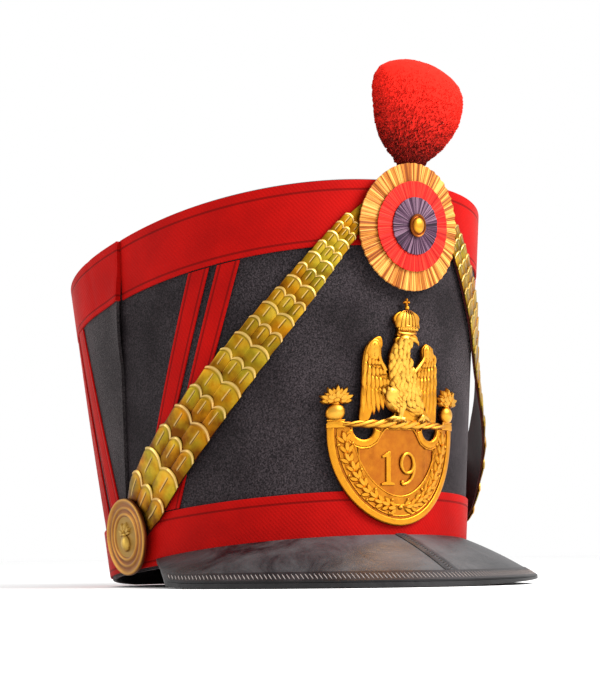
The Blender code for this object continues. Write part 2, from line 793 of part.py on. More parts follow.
def hole(side):
    """One of the two openings under the bar."""
    return [(side * HOLE_OFFSET + HOLE_RADIUS * math.cos(angle), HOLE_TOP + HOLE_RADIUS * math.sin(angle))
            for angle in np.linspace(math.pi, 2 * math.pi, 9)]


LEFT_WING = (
    (-10.0, 89.5), (-11.5, 92.5), (-13.5, 96.5), (-11.0, 101.0), (-12.0, 105.5), (-16.0, 104.8),
    (-20.5, 100.8), (-22.4, 95.0), (-22.6, 88.0), (-22.4, 76.0), (-23.2, 63.0), (-18.6, 63.5),
    (-15.2, 71.0), (-9.5, 76.5), (-6.0, 84.0),
)
RIGHT_WING = (
    (8.0, 89.0), (11.7, 91.7), (15.0, 95.9), (14.9, 100.4), (18.3, 103.2), (22.1, 99.9), (24.4, 96.5),
    (25.4, 90.0), (25.8, 77.4), (25.3, 63.0), (20.8, 64.0), (16.3, 71.8), (11.5, 76.5), (7.5, 82.0),
)
BODY = (
    (-7.0, 94.9), (-6.2, 98.5), (-3.3, 102.6), (-2.2, 105.6), (9.3, 107.2), (11.6, 104.0), (6.9, 102.6),
    (5.0, 98.5), (6.0, 93.5), (8.7, 89.0), (12.0, 82.0), (9.8, 75.0), (17.0, 69.0), (21.8, 63.5),
    (10.0, 62.5), (-6.0, 63.0), (-3.6, 68.2), (-8.2, 73.0), (-8.6, 76.5), (-6.5, 81.0), (-7.4, 88.5),
)
CROWN = (
    (-1.5, 106.0), (-1.2, 109.6), (-4.2, 115.0), (-1.5, 118.0), (3.4, 119.0), (3.7, 121.5), (2.4, 121.8),
    (2.5, 123.3), (3.8, 123.5), (3.9, 125.0), (5.3, 125.1), (5.4, 123.6), (6.7, 123.4), (6.8, 121.9),
    (5.6, 121.6), (5.8, 119.0), (10.5, 118.0), (13.0, 115.0), (10.2, 109.6), (10.0, 106.5),
)
DIGIT_ONE = (
    (-7.6, 31.6), (-0.6, 31.6), (-0.6, 33.2), (-2.9, 33.2), (-2.9, 48.0), (-4.2, 48.0), (-7.4, 46.0),
    (-6.8, 44.8), (-5.4, 45.4), (-5.4, 33.2), (-7.6, 33.2),
)


def digit_nine():
    """Outline of the 9 and of its eye: an oval bowl with a tail."""
    middle_x, middle_y = 6.6, 42.4
    bowl = [(middle_x + 4.9 * math.cos(angle), middle_y + 5.5 * math.sin(angle))
            for angle in np.radians(np.linspace(-5, 262, 12))]
    tail = [(9.2, 38.0), (6.9, 33.6), (3.0, 33.3), (2.8, 31.8), (7.4, 31.7), (10.3, 35.0)]
    eye = [(middle_x + 2.7 * math.cos(angle), middle_y + 0.3 + 3.5 * math.sin(angle))
           for angle in np.linspace(0, 2 * math.pi, 9, endpoint=False)]
    return [bowl + tail, eye]


def bar():
    """The bar across the shield's top: a tapered rod with a flat back."""
    stations = (
        # x, half height, thickness
        (-31.0, 1.4, 2.2),
        (-24.0, 2.5, 3.2),
        (0.5, 2.7, 3.6),
        (25.0, 2.5, 3.2),
        (32.0, 1.4, 2.2),
    )
    loops = []
    for x, half, thick in stations:
        loops.append([(x, 62.0 - half, 0.15), (x, 62.0 + half, 0.15), (x, 62.0 + 0.7 * half, 0.8 * thick),
                      (x, 62.0, thick), (x, 62.0 - 0.7 * half, 0.8 * thick)])
    return loft("bar", loops)


def front_plate():
    """The stamped plate: worked flat, cut into facets and bent round the crown."""
    corners = [[(side * x, y) for x, y in ((30.5, 60.5), (39.2, 60.5), (39.2, 64.6), (30.5, 64.6))]
               for side in (-1, 1)]
    parts = [
        flat_shape("shield", [shield_outline(0.0, SHIELD_TOP), hole(-1), hole(1)], 0.0, 1.2),
        border_ring(0.05, SHIELD_BORDER, 0.3, 2.0),
        border_ring(LEAF_BAND[0], LEAF_BAND[1], 0.35, 1.8, 12),
        flat_shape("left_wing", [LEFT_WING], 0.05, 2.2),
        flat_shape("right_wing", [RIGHT_WING], 0.1, 2.25),
        flat_shape("body", [BODY], 0.0, 2.9),
        dome("chest", (0.5, 82.0), 6.6, 12.5, 0.4, 4.2),
        flat_shape("crown", [CROWN], 0.12, 2.5),
        bar(),
        flat_shape("digit_one", [DIGIT_ONE], 0.5, 1.9),
        flat_shape("digit_nine", digit_nine(), 0.55, 1.95),
    ]
    for side, outline in zip((-1, 1), corners):
        parts.append(flat_shape("corner", [outline], 0.2, 2.3))
        parts.append(dome("ball", (side * 35.0, 68.0), 4.2, 4.3, 0.25, 3.4, sides=12))
        parts.append(flat_shape("flame", [flame((side * 35.0, 0), 6.8, 71.4)], 0.18, 2.0))
    plate = bmesh.new()
    plate.from_mesh(fused("front_plate", parts))
    for x in np.arange(-2, 3) * PLATE_FACET:
        everything = plate.verts[:] + plate.edges[:] + plate.faces[:]
        bmesh.ops.bisect_plane(plate, geom=everything, dist=1e-7, plane_co=(x * MM, 0, 0),
                               plane_no=(1, 0, 0))
    bmesh.ops.triangulate(plate, faces=plate.faces)
    for vertex in plate.verts:
        x, y, out = vertex.co / MM
        spread = (math.sqrt(np.clip(-x / SHIELD_HALF_WIDTH, 0, 1))
                  * np.interp(-y, (-SPREAD_BELOW[0], -SPREAD_BELOW[1]), (0, 1)))
        x *= 1 + SHIELD_SPREAD * spread
        around = PLATE_AROUND + PLATE_LEAN * (y - PLATE_FOOT) - PLATE_WIDTH_SCALE * x
        height = PLATE_FOOT + PLATE_HEIGHT_SCALE * (y - PLATE_FOOT)
        vertex.co = Vector(wall(around, height, PLATE_LIFT + out)) * MM
    mesh = bpy.data.meshes.new("front_plate")
    plate.to_mesh(mesh)
    plate.free()
    add_object("front_plate", mesh, GILT_BRASS)


def border_ring(outer, inner, back, front, steps=16):
    """A raised band along the shield's edge, open at the shield's top."""
    outside = shield_outline(outer, SHIELD_TOP, steps)[:-2]
    inside = shield_outline(inner, SHIELD_TOP, steps)[:-2]
    top = SHIELD_TOP - 0.1
    outline = ([(outside[0][0], top)] + outside + [(outside[-1][0], top), (inside[-1][0], top)]
               + inside[::-1] + [(inside[0][0], top)])
    return flat_shape("ring", [outline], back, front)


# ---------------------------------------------------------------- cockade and pompom

def cockade_disc(name, radii, back, front, finish, segments, wave=0.0):
    """A thin disc that follows the crown; wave raises and sinks its outer part in pleats."""
    loops = []
    for level, order in ((back, radii), (front, radii[::-1])):
        for radius in order:
            loop = []
            for k in range(segments):
                angle = 2 * math.pi * k / segments
                pleat = wave * math.cos(math.pi * k) if radius > 0.6 * radii[-1] else 0.0
                loop.append(wall(-COCKADE_WIDTH_SCALE * radius * math.cos(angle),
                                 COCKADE_HEIGHT + radius * math.sin(angle), level + pleat))
            loops.append(loop)
    add_object(name, loft(name, loops), finish)


def cockade():
    """Pleated fringe, red ring and violet middle, one on the other, with a button."""
    fringe_face = COCKADE_LIFT + FRINGE_THICKNESS
    cockade_disc("cockade_fringe", (8.0, 21.0, COCKADE_RADIUS), COCKADE_LIFT, fringe_face,
                 YELLOW_SILK, 2 * PLEATS, PLEAT_DEPTH)
    red_back = fringe_face + PLEAT_DEPTH + GAP
    cockade_disc("cockade_red", (8.0, 23.0), red_back, red_back + 0.8, RED_SILK, 28)
    violet_back = red_back + 0.8 + GAP
    cockade_disc("cockade_violet", (4.0, 14.6), violet_back, violet_back + 0.7, VIOLET_SILK, 20)
    button_back = violet_back + 0.7 + GAP
    mesh = dome("cockade_button", (0, 0), 5.6, 5.6, 0.0, 3.0, sides=16)
    made = add_object("cockade_button", mesh, GILT_BRASS)
    made.matrix_local = wall_frame(0, COCKADE_HEIGHT, button_back)


def pompom():
    """A wool pompom, flatter than it is wide, its locks standing out as ridges."""
    base = Vector(wall(POMPOM_AROUND, POMPOM_FOOT, POMPOM_LIFT))
    rise = (Vector(wall(0, POMPOM_FOOT, 0)) - Vector(wall(0, 0, 0))).normalized()
    out = Vector((0, -rise.z, rise.y))
    sides = 2 * POMPOM_LOCKS
    loops = []
    for row, (up, half) in enumerate(POMPOM_PROFILE):
        forward = POMPOM_SET_FORWARD * min(1.0, max(0.0, (up - 8.0) / 25.0))
        loop = []
        for k in range(sides):
            angle = 2 * math.pi * k / sides
            lock = 1.0 + 0.035 * math.cos(math.pi * (k + row)) * min(1.0, up / 12.0)
            side_step = half * lock * math.cos(angle)
            out_step = POMPOM_DEPTH * half * lock * math.sin(angle) + forward
            loop.append(base + rise * up + out * out_step + Vector((side_step, 0, 0)))
        loops.append(loop[::-1])
    add_object("pompom", loft("pompom", loops), RED_WOOL)


def pompom_stem():
    """The plain tongue that holds the pompom, hidden between the crown and the cockade."""
    lift = STRAP_LIFT + STRAP_LEATHER + GAP
    top = POMPOM_FOOT - STEM_DROP
    loops = []
    for height in (top - STEM_LENGTH, top):
        loops.append([wall(around, height, off) for around, off in (
            (STEM_WIDTH / 2, lift), (-STEM_WIDTH / 2, lift),
            (-STEM_WIDTH / 2, COCKADE_LIFT - PLEAT_DEPTH - GAP),
            (STEM_WIDTH / 2, COCKADE_LIFT - PLEAT_DEPTH - GAP))][::-1])
    add_object("pompom_stem", loft("pompom_stem", loops), BLACK_LEATHER)


# ---------------------------------------------------------------- the hat

crown_front()
crown_back()
crown_top()
front_band("top_band_front", TOP_BAND_SHARE, 1.0)
back_band("top_band_back", (TOP_BAND_SHARE, 1.0))
front_band("bottom_band_front", 0.0, BOTTOM_BAND_SHARE, BAND_RAISE)
back_band("bottom_band_back", (0.0, BOTTOM_BAND_SHARE), BAND_RAISE)
for side in (1, -1):
    for arm, foot, lean in CHEVRON_ARMS:
        for place in (0, 1):
            chevron(side, arm, foot, lean, place)
peak()
peak_border()
peak_seam()
for side in (1, -1):
    chin_scales(side)
    boss(side)
front_plate()
cockade()
pompom()
pompom_stem()
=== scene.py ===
"""A felt shako with red braid, chin scales, front plate, cockade and pompom, dressed for the camera.

Most of its pieces lie on the crown. They are shaped flat, as the real ones are cut or stamped, in
millimetres: X towards the wearer's left, Y up from the rim and Z out from the felt. Then they are
bent round the crown and stood on the floor with it.
"""

import math

import bmesh
import bpy
import numpy as np
from mathutils import Matrix, Vector


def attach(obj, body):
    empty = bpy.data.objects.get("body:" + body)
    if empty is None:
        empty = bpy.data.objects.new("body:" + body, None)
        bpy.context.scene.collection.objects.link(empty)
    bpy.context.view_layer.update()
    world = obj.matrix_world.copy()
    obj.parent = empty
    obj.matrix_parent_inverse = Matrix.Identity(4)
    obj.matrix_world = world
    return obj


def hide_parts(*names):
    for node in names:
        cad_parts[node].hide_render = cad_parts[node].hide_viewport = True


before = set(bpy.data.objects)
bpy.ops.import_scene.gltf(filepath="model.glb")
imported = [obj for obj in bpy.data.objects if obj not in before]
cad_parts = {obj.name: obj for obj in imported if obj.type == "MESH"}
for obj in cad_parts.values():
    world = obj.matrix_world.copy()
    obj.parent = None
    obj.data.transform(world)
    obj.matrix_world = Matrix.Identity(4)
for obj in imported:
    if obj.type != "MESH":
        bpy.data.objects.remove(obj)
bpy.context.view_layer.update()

# ---------------------------------------------------------------- felt panels
# The crown is a tube of thick black felt, blocked stiff, that widens towards its sloping top.
# The back panel is sewn over the front one's edges, and its edge at the wearer's right stands
# open a little. The hat leans back, on the rim's back and the peak's outer edge.
MM = 0.001
GAP = 0.3
RIM_HALF = (92.0, 95.0)
RIM_POWER = 2.15
TOP_HALF = (103.5, 119.5)
TOP_POWER = 2.2
TOP_SHIFT = -5.8
CROWN_HEIGHT = 172.0
TOP_SLOPE = math.tan(math.radians(6.5))
TILT = math.radians(5.8)
PRESSED = 0.8
DEPTH_SHIFT = 6.9
SIDE_SHIFT = -3.04
FELT = 1.8
SEAM_AT_RIM = 166.3
SEAM_LEAN = 0.05
PANEL_OVERLAP = 8.0
GAPE = 2.0
GAPE_HEIGHT = 133.0
GAPE_HALF_LENGTH = 26.0
GAPE_REACH = 16.0
GAPE_SIDE = 300.0  # the open edge's side of the back panel ends this far round the crown
CREASE = ((207.9, 171.1), (198.7, 145.5))  # round the crown and up
CREASE_WIDTH = 2.6
CREASE_DEPTH = 0.28
STAND = np.array(Matrix.Translation((SIDE_SHIFT, DEPTH_SHIFT, RIM_HALF[1] * math.sin(TILT) - PRESSED))
                 @ Matrix.Rotation(-TILT, 4, "X"))
ANGLES = np.linspace(-1.6 * math.pi, 1.6 * math.pi, 2305)


def plan(angle, share):
    """Plan point of the felt at a share of its height; angle 0 is the front, then the wearer's right."""
    x, y = -np.sin(angle), -np.cos(angle)
    ends = []
    for (half_x, half_y), power, shift in ((RIM_HALF, RIM_POWER, 0.0), (TOP_HALF, TOP_POWER, TOP_SHIFT)):
        reach = (np.abs(x) ** power + np.abs(y) ** power) ** (-1.0 / power)
        ends.append((half_x * x * reach, half_y * y * reach + shift))
    (rim_x, rim_y), (top_x, top_y) = ends
    return rim_x + share * (top_x - rim_x), rim_y + share * (top_y - rim_y)


def top_height(angle):
    """Height of the felt's upper edge."""
    return CROWN_HEIGHT - TOP_SLOPE * plan(angle, 1.0)[1]


def girth(share):
    """Distance round the felt from the front, at each of ANGLES."""
    x, y = plan(ANGLES, share)
    total = np.concatenate([[0.0], np.cumsum(np.hypot(np.diff(x), np.diff(y)))])
    return total - np.interp(0.0, ANGLES, total)


RIM_GIRTH, TOP_GIRTH = girth(0.0), girth(1.0)


def girth_at(angle, share):
    """Distance round the felt from the front to a plan angle, at a share of its height."""
    return (1 - share) * np.interp(angle, ANGLES, RIM_GIRTH) + share * np.interp(angle, ANGLES, TOP_GIRTH)


def angle_at(around, share_at):
    """Plan angle at a distance round the felt, where share_at gives the share of its height."""
    angle = around / RIM_HALF[1]
    for _ in range(12):
        angle = angle + (around - girth_at(angle, share_at(angle))) / TOP_HALF[1]
    return angle


def wall(around, height, lift):
    """Point at a distance round the felt, up from the rim and out from the felt."""
    around, height, lift = np.broadcast_arrays(*(np.asarray(v, float) for v in (around, height, lift)))
    angle = angle_at(around, lambda angle: height / top_height(angle))
    share = height / top_height(angle)
    x, y = plan(angle, share)
    step_x, step_y = (b - a for a, b in zip(plan(angle - 0.001, share), plan(angle + 0.001, share)))
    size = np.hypot(step_x, step_y)
    return np.stack([x - lift * step_y / size, y + lift * step_x / size, height], axis=-1)


def height_at(around, share):
    """Height of a share of the felt's height, at a distance round it."""
    return share * top_height(angle_at(around, lambda angle: share))


def seam(height):
    """Distance round the crown where the back panel's edge lies."""
    return SEAM_AT_RIM + SEAM_LEAN * height


def back_lift(around, height):
    """How far the back panel stands off the front panel: more along its gaping edge, less in a crease."""
    behind_edge = np.clip(around - seam(height), 0.0, GAPE_REACH) / GAPE_REACH
    bump = np.clip(1 - ((height - GAPE_HEIGHT) / GAPE_HALF_LENGTH) ** 2, 0.0, 1.0)
    (high_around, high), (low_around, low) = CREASE
    line = low_around + (high_around - low_around) * (height - low) / (high - low)
    crease = np.exp(-((around - line) / CREASE_WIDTH) ** 2) * np.clip((height - low + 14) / 20, 0.0, 1.0)
    return GAP + GAPE * bump * (1 - behind_edge) ** 2 - CREASE_DEPTH * crease


def grid(across, up):
    """A flat grid, from -1 to 1 across and from 0 to 1 up."""
    shape = bmesh.new()
    bmesh.ops.create_grid(shape, x_segments=across, y_segments=up, size=1.0)
    bmesh.ops.translate(shape, verts=shape.verts, vec=(0, 1, 0))
    bmesh.ops.scale(shape, verts=shape.verts, vec=(1, 0.5, 1))
    return shape


def reshape(shape, rule):
    """Moves every vertex to where the rule puts it."""
    places = np.array([vert.co for vert in shape.verts]).reshape(-1, 3)
    for vert, place in zip(shape.verts, np.stack(rule(*places.T), axis=-1)):
        vert.co = place


def merge(shape, part):
    """Adds a finished part's shape to another shape."""
    mesh = bpy.data.meshes.new("part")
    part.to_mesh(mesh)
    part.free()
    shape.from_mesh(mesh)
    bpy.data.meshes.remove(mesh)


def thicken(shape, thickness):
    """Gives a flat sheet its thickness, downwards."""
    made = bmesh.ops.extrude_face_region(shape, geom=shape.faces[:], use_keep_orig=True)
    verts = [item for item in made["geom"] if isinstance(item, bmesh.types.BMVert)]
    bmesh.ops.translate(shape, verts=verts, vec=(0, 0, -thickness))
    bmesh.ops.recalc_face_normals(shape, faces=shape.faces)


def keep_place(shape, name="flat"):
    """Keeps the vertices' places with them for the patterns, before they are bent."""
    layer = shape.verts.layers.float_vector.new(name)
    for vert in shape.verts:
        vert[layer] = vert.co


def onto_crown(shape, lift=lambda x, y: 0.0):
    """Bends a flat shape round the crown; its flat place stays with it for the patterns."""
    keep_place(shape)
    reshape(shape, lambda x, y, z: wall(-x, y, z + lift(x, y)).T)


def colour(code):
    """An sRGB hex colour as linear red, green, blue and alpha."""
    parts = [int(code[k:k + 2], 16) / 255 for k in (1, 3, 5)]
    return *((c / 12.92 if c <= 0.04045 else ((c + 0.055) / 1.055) ** 2.4) for c in parts), 1.0


def add(tree, kind, inputs=(), **settings):
    """Adds a shader node; an input is a value, hex colour, (Min, Max) pair, or a node or output to link."""
    made = tree.nodes.new("ShaderNode" + kind)
    for name, value in settings.items():
        setattr(made, name, value)
    for key, value in dict(inputs).items():
        if key in ("From", "To"):
            made.inputs[key + " Min"].default_value, made.inputs[key + " Max"].default_value = value
            continue
        if isinstance(value, bpy.types.Node):
            value = value.outputs[0]
        if isinstance(value, bpy.types.NodeSocket):
            tree.links.new(value, made.inputs[key])
        else:
            made.inputs[key].default_value = colour(value) if isinstance(value, str) else value
    return made


def finish(name, **sockets):
    """A new material, its node tree and its Principled shader with these sockets set."""
    made = bpy.data.materials.new(name)
    made.use_nodes = True
    shader = made.node_tree.nodes["Principled BSDF"]
    for key, value in sockets.items():
        shader.inputs[key.replace("_", " ")].default_value = value
    return made, made.node_tree, shader


def link(tree, shader, **inputs):
    """Links nodes to the shader's sockets."""
    for key, value in inputs.items():
        tree.links.new(value.outputs[0], shader.inputs[key.replace("_", " ")])


def piece(name, shape, made_of, slot, *nodes, sharp=35.0):
    """Stands a shape in the hat's millimetres on the floor, as a finished piece in metres."""
    reshape(shape, lambda *p: (STAND[:3, :3] @ np.stack(p) + STAND[:3, 3:]) * MM)
    mesh = bpy.data.meshes.new(name)
    shape.to_mesh(mesh)
    shape.free()
    mesh.shade_smooth()
    mesh.set_sharp_from_angle(angle=math.radians(sharp))
    mesh.materials.append(made_of)
    made = bpy.data.objects.new(name, mesh)
    bpy.context.scene.collection.objects.link(made)
    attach(made, "root")
    if nodes:
        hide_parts(*nodes)
    return made


# Thick wool felt: matt, with a grey bloom seen at a slant and a fine pebble of matted fibres.
def wool_felt(name, darks, lights, bloom):
    """Blocked felt with dark hollows and lighter fibre ends, each between two colours."""
    made, tree, shader = finish(name, Roughness=0.7, Sheen_Weight=bloom, Sheen_Roughness=0.24,
                                Sheen_Tint=colour("#B3A6A8"), IOR=1.45, Specular_IOR_Level=0.1)
    place = add(tree, "TexCoord").outputs["Object"]
    fibres = add(tree, "TexNoise", {"Vector": place, "Scale": 1150.0, "Detail": 3.0, "Roughness": 0.8})
    mottle = add(tree, "TexNoise", {"Vector": place, "Scale": 24.0, "Detail": 4.0})
    speck = add(tree, "MapRange", {"Value": fibres, "From": (0.42, 0.68)})
    patch = add(tree, "MapRange", {"Value": mottle, "From": (0.35, 0.65)})
    dark = add(tree, "MixRGB", {"Fac": patch, "Color1": darks[0], "Color2": darks[1]})
    light = add(tree, "MixRGB", {"Fac": patch, "Color1": lights[0], "Color2": lights[1]})
    link(tree, shader, Base_Color=add(tree, "MixRGB", {"Fac": speck, "Color1": dark, "Color2": light}),
         Normal=add(tree, "Bump", {"Strength": 0.55, "Distance": 0.0005, "Height": fibres}))
    return made


# The back panel's felt is coloured lighter and greyer than the front one's: painted glare, for the sheen seen
# on it at a slant.
front_felt = wool_felt("blocked_wool_felt", ("#0C090A", "#151113"), ("#2A2326", "#463E41"), 0.36)
back_felt = wool_felt("glare_painted_wool_felt", ("#1A1718", "#262223"), ("#3C3637", "#4E4748"), 0.5)


def front_rule(k, share, z, spread=PANEL_OVERLAP, raised=0.0):
    """Flat place on the front panel, k from its right edge (-1) to its left edge (1)."""
    height = 0.0
    for _ in range(5):
        around = -k * (seam(height) + spread)
        height = height_at(around, share) + raised
    return -around, height, z


def back_rule(k, share, z, raised=0.0):
    """Flat place on the back panel, k from its left edge (-1) by the back to its right edge (1)."""
    height = 0.0
    for _ in range(5):
        half_turn = girth_at(math.pi, share)
        around = half_turn - k * (half_turn - seam(height))
        height = height_at(around, share) + raised
    return -around, height, z


def over_back(x, y):
    """How far the back panel's outer face stands off the front panel's."""
    return FELT + np.where(-x < GAPE_SIDE, back_lift(-x, y), GAP)


shape = grid(150, 20)
reshape(shape, front_rule)
thicken(shape, FELT)
onto_crown(shape)
piece("felt_front_panel", shape, front_felt, "black_felt", "crown_front")

shape = grid(150, 30)
reshape(shape, lambda k, share, z: back_rule(-k, share, z))
reshape(shape, lambda x, y, z: (x, y - TOP_SLOPE * (FELT + GAP) * y / CROWN_HEIGHT, z))
thicken(shape, FELT)
onto_crown(shape, over_back)
back_panel = piece("felt_back_panel", shape, back_felt, "black_felt", "crown_back")
for vert in back_panel.data.vertices:
    vert.co.z = max(vert.co.z, 0.0)

# ---------------------------------------------------------------- leather top
# A disc of blacked leather closes the crown. Its edge is sewn down over the felt, where a groove
# takes the thread, and its middle sinks a little.
TOP_LEATHER = 1.2
TOP_GAP = 0.65
TOP_OVERHANG = -0.2
TOP_SAG = 1.6

# Blacked cowhide, waxed: soft shine, fine grain and faint wrinkles.
leather, tree, shader = finish("waxed_black_leather", Specular_IOR_Level=0.14,
                               Coat_Weight=0.04, Coat_Roughness=0.4)
place = add(tree, "TexCoord").outputs["Object"]
grain = add(tree, "TexVoronoi", {"Vector": place, "Scale": 900.0, "Randomness": 1.0},
            feature="DISTANCE_TO_EDGE")
cloud = add(tree, "TexNoise", {"Vector": place, "Scale": 38.0, "Detail": 6.0, "Roughness": 0.65})
pores = add(tree, "MapRange", {"Value": grain, "From": (0.0, 0.25)})
relief = add(tree, "Math", {0: cloud, 1: 2.2, 2: pores}, operation="MULTIPLY_ADD")
link(tree, shader,
     Base_Color=add(tree, "MixRGB", {"Fac": add(tree, "MapRange", {"Value": cloud, "From": (0.35, 0.7)}),
                                     "Color1": "#1A1719", "Color2": "#343033"}),
     Roughness=add(tree, "MapRange", {"Value": cloud, "From": (0.3, 0.7), "To": (0.5, 0.68)}),
     Normal=add(tree, "Bump", {"Strength": 0.25, "Distance": 0.0006, "Height": relief}))


def turned(shape, profile, steps, turn=2 * math.pi):
    """Spins a profile of radius and height round Z."""
    line = [shape.verts.new((radius, 0, height)) for radius, height in profile]
    edges = [shape.edges.new(pair) for pair in zip(line, line[1:])]
    bmesh.ops.spin(shape, geom=line + edges, cent=(0, 0, 0), axis=(0, 0, 1), dvec=(0, 0, 0),
                   angle=turn, steps=steps, use_merge=True, use_duplicate=False)
    bmesh.ops.remove_doubles(shape, verts=shape.verts, dist=1e-5)
    bmesh.ops.recalc_face_normals(shape, faces=shape.faces)


def top_rule(x, y, z):
    """Spreads a unit disc over the crown's upper edge."""
    radius = np.hypot(x, y)
    angle = np.arctan2(-x, -y)
    edge_x, edge_y = plan(angle, 1.0)
    size = np.hypot(edge_x, edge_y - TOP_SHIFT)
    reach = radius * (1 + TOP_OVERHANG / size)
    flat_x, flat_y = reach * edge_x, reach * (edge_y - TOP_SHIFT) + TOP_SHIFT
    return flat_x, flat_y, CROWN_HEIGHT - TOP_SLOPE * flat_y + TOP_GAP / math.cos(TILT) + z


shape = bmesh.new()
sag = [(k / 12, TOP_LEATHER - TOP_SAG * (1 - (k / 12) ** 2)) for k in range(11)]
groove = [(0.93, 1.05), (0.945, 0.78), (0.955, 0.74), (0.965, 0.82), (0.975, 1.12), (0.99, 1.2), (0.997, 1.1),
          (1.0, 0.8), (1.0, 0.3), (0.997, 0.05), (0.99, 0.0), (0.9, 0.0), (0.5, -1.2), (0.0, -TOP_SAG)]
turned(shape, sag + groove, 180)
reshape(shape, top_rule)
piece("leather_top", shape, leather, "black_leather", "crown_top")

# ---------------------------------------------------------------- red braid
# Bands of red twilled wool braid are sewn round the top and the rim, each with one line of
# stitches near its edges, and two narrow strips make the chevron on each side.
BRAID = 1.0
TOP_BAND = (0.827, 1.0)  # shares of the felt's height
BOTTOM_BAND = (0.0, 0.16)
BAND_RAISE = 1.4
TOP_BAND_RISE = 1.0  # the top band stands up past the felt, over the leather's cut edge
FOLD = 1.0
CHEVRON_WIDTH = 11.8
CHEVRON_SPACE = 4.5
CHEVRON_THICKNESS = 0.8
CHEVRON_FOOT = 28.5
CHEVRON_ARMS = (("front", 146.4, -0.27), ("back", 177.2, 0.47))
TWILL = 1.5  # mm between the ribs, twice the real spacing so that they show


def braid(name, low_line, high_line):
    """Twilled wool braid: dull red, with diagonal ribs and stitch lines this far from its edges."""
    made, tree, shader = finish(name, Roughness=0.7, Sheen_Weight=0.24, Sheen_Roughness=0.22,
                                Sheen_Tint=colour("#FFC4BC"), IOR=1.45, Specular_IOR_Level=0.06)
    cloth = add(tree, "Attribute", attribute_name="cloth").outputs["Vector"]
    parts = add(tree, "SeparateXYZ", {0: cloth})
    flat = add(tree, "CombineXYZ", {0: parts.outputs[0], 1: parts.outputs[1]})
    cloud = add(tree, "TexNoise", {"Vector": flat, "Scale": 0.045, "Detail": 3.0})
    fuzz = add(tree, "TexNoise", {"Vector": flat, "Scale": 1.6, "Detail": 3.0, "Roughness": 0.7})
    slant = add(tree, "VectorMath", {0: flat, 3: 0.444 / TWILL}, operation="SCALE")
    ribs = add(tree, "TexWave", {"Vector": slant, "Scale": 1.0, "Distortion": 0.6, "Detail": 1.0,
                                 "Detail Scale": 3.0}, bands_direction="DIAGONAL")
    lines = []
    for output, line in ((1, low_line), (2, high_line)):
        off = add(tree, "Math", {0: parts.outputs[output], 1: line}, operation="SUBTRACT")
        off = add(tree, "Math", {0: off}, operation="ABSOLUTE")
        lines.append(add(tree, "MapRange", {"Value": off, "From": (0.25, 0.75),
                                            "To": (1.0, 0.0)}, interpolation_type="SMOOTHSTEP"))
    sewn = add(tree, "Math", {0: lines[0], 1: lines[1]}, operation="MAXIMUM")
    base = add(tree, "MixRGB", {"Fac": add(tree, "MapRange", {"Value": cloud, "From": (0.3, 0.7)}),
                                "Color1": "#920604", "Color2": "#A60905"})
    tone = add(tree, "Math", {0: ribs.outputs["Fac"], 1: fuzz}, operation="MULTIPLY")
    base = add(tree, "MixRGB", {"Fac": add(tree, "MapRange", {"Value": tone, "From": (0.1, 0.6),
                                                              "To": (0.15, 0.0)}),
                                "Color1": base, "Color2": "#5A0302"})
    base = add(tree, "MixRGB", {"Fac": add(tree, "Math", {0: sewn, 1: 0.65}, operation="MULTIPLY"),
                                "Color1": base, "Color2": "#4C0403"})
    relief = add(tree, "Math", {0: sewn, 1: -2.5, 2: tone}, operation="MULTIPLY_ADD")
    link(tree, shader, Base_Color=base,
         Normal=add(tree, "Bump", {"Strength": 0.3, "Distance": 0.0004, "Height": relief}))
    return made


top_braid = braid("top_band_braid", 2.8, 4.6)
bottom_braid = braid("bottom_band_braid", 2.8, 4.2)
chevron_braid = braid("chevron_braid", 1.9, 1.9)


def round_edges(shape, thickness, offset):
    """Rounds the upper edges of a strip."""
    edges = [edge for edge in shape.edges if edge.calc_face_angle(0.0) > 1.0
             and min(vert.co.z for vert in edge.verts) > -0.5 * thickness]
    bmesh.ops.bevel(shape, geom=edges, offset=offset, affect="EDGES", segments=3, profile=0.5, material=-1)


def cloth_strip(across, up, rule, width, thickness):
    """A strip of braid laid out flat, its edges rounded; each vertex keeps its place on the cloth."""
    shape = grid(across, up)
    cloth = shape.verts.layers.float_vector.new("cloth")
    places = np.array([vert.co for vert in shape.verts])
    flat = np.stack(rule(*places.T), axis=-1)
    for vert, (x, y, _) in zip(shape.verts, flat):
        vert[cloth] = (x + 400.0, vert.co.y * width, (1 - vert.co.y) * width)
    for vert, place in zip(shape.verts, flat):
        vert.co = place
    thicken(shape, thickness)
    round_edges(shape, thickness, 0.35)
    return shape


def middle_width(low, high):
    """Width of a band at the sides of the crown."""
    return float(height_at(np.array(150.0), high) - height_at(np.array(150.0), low))


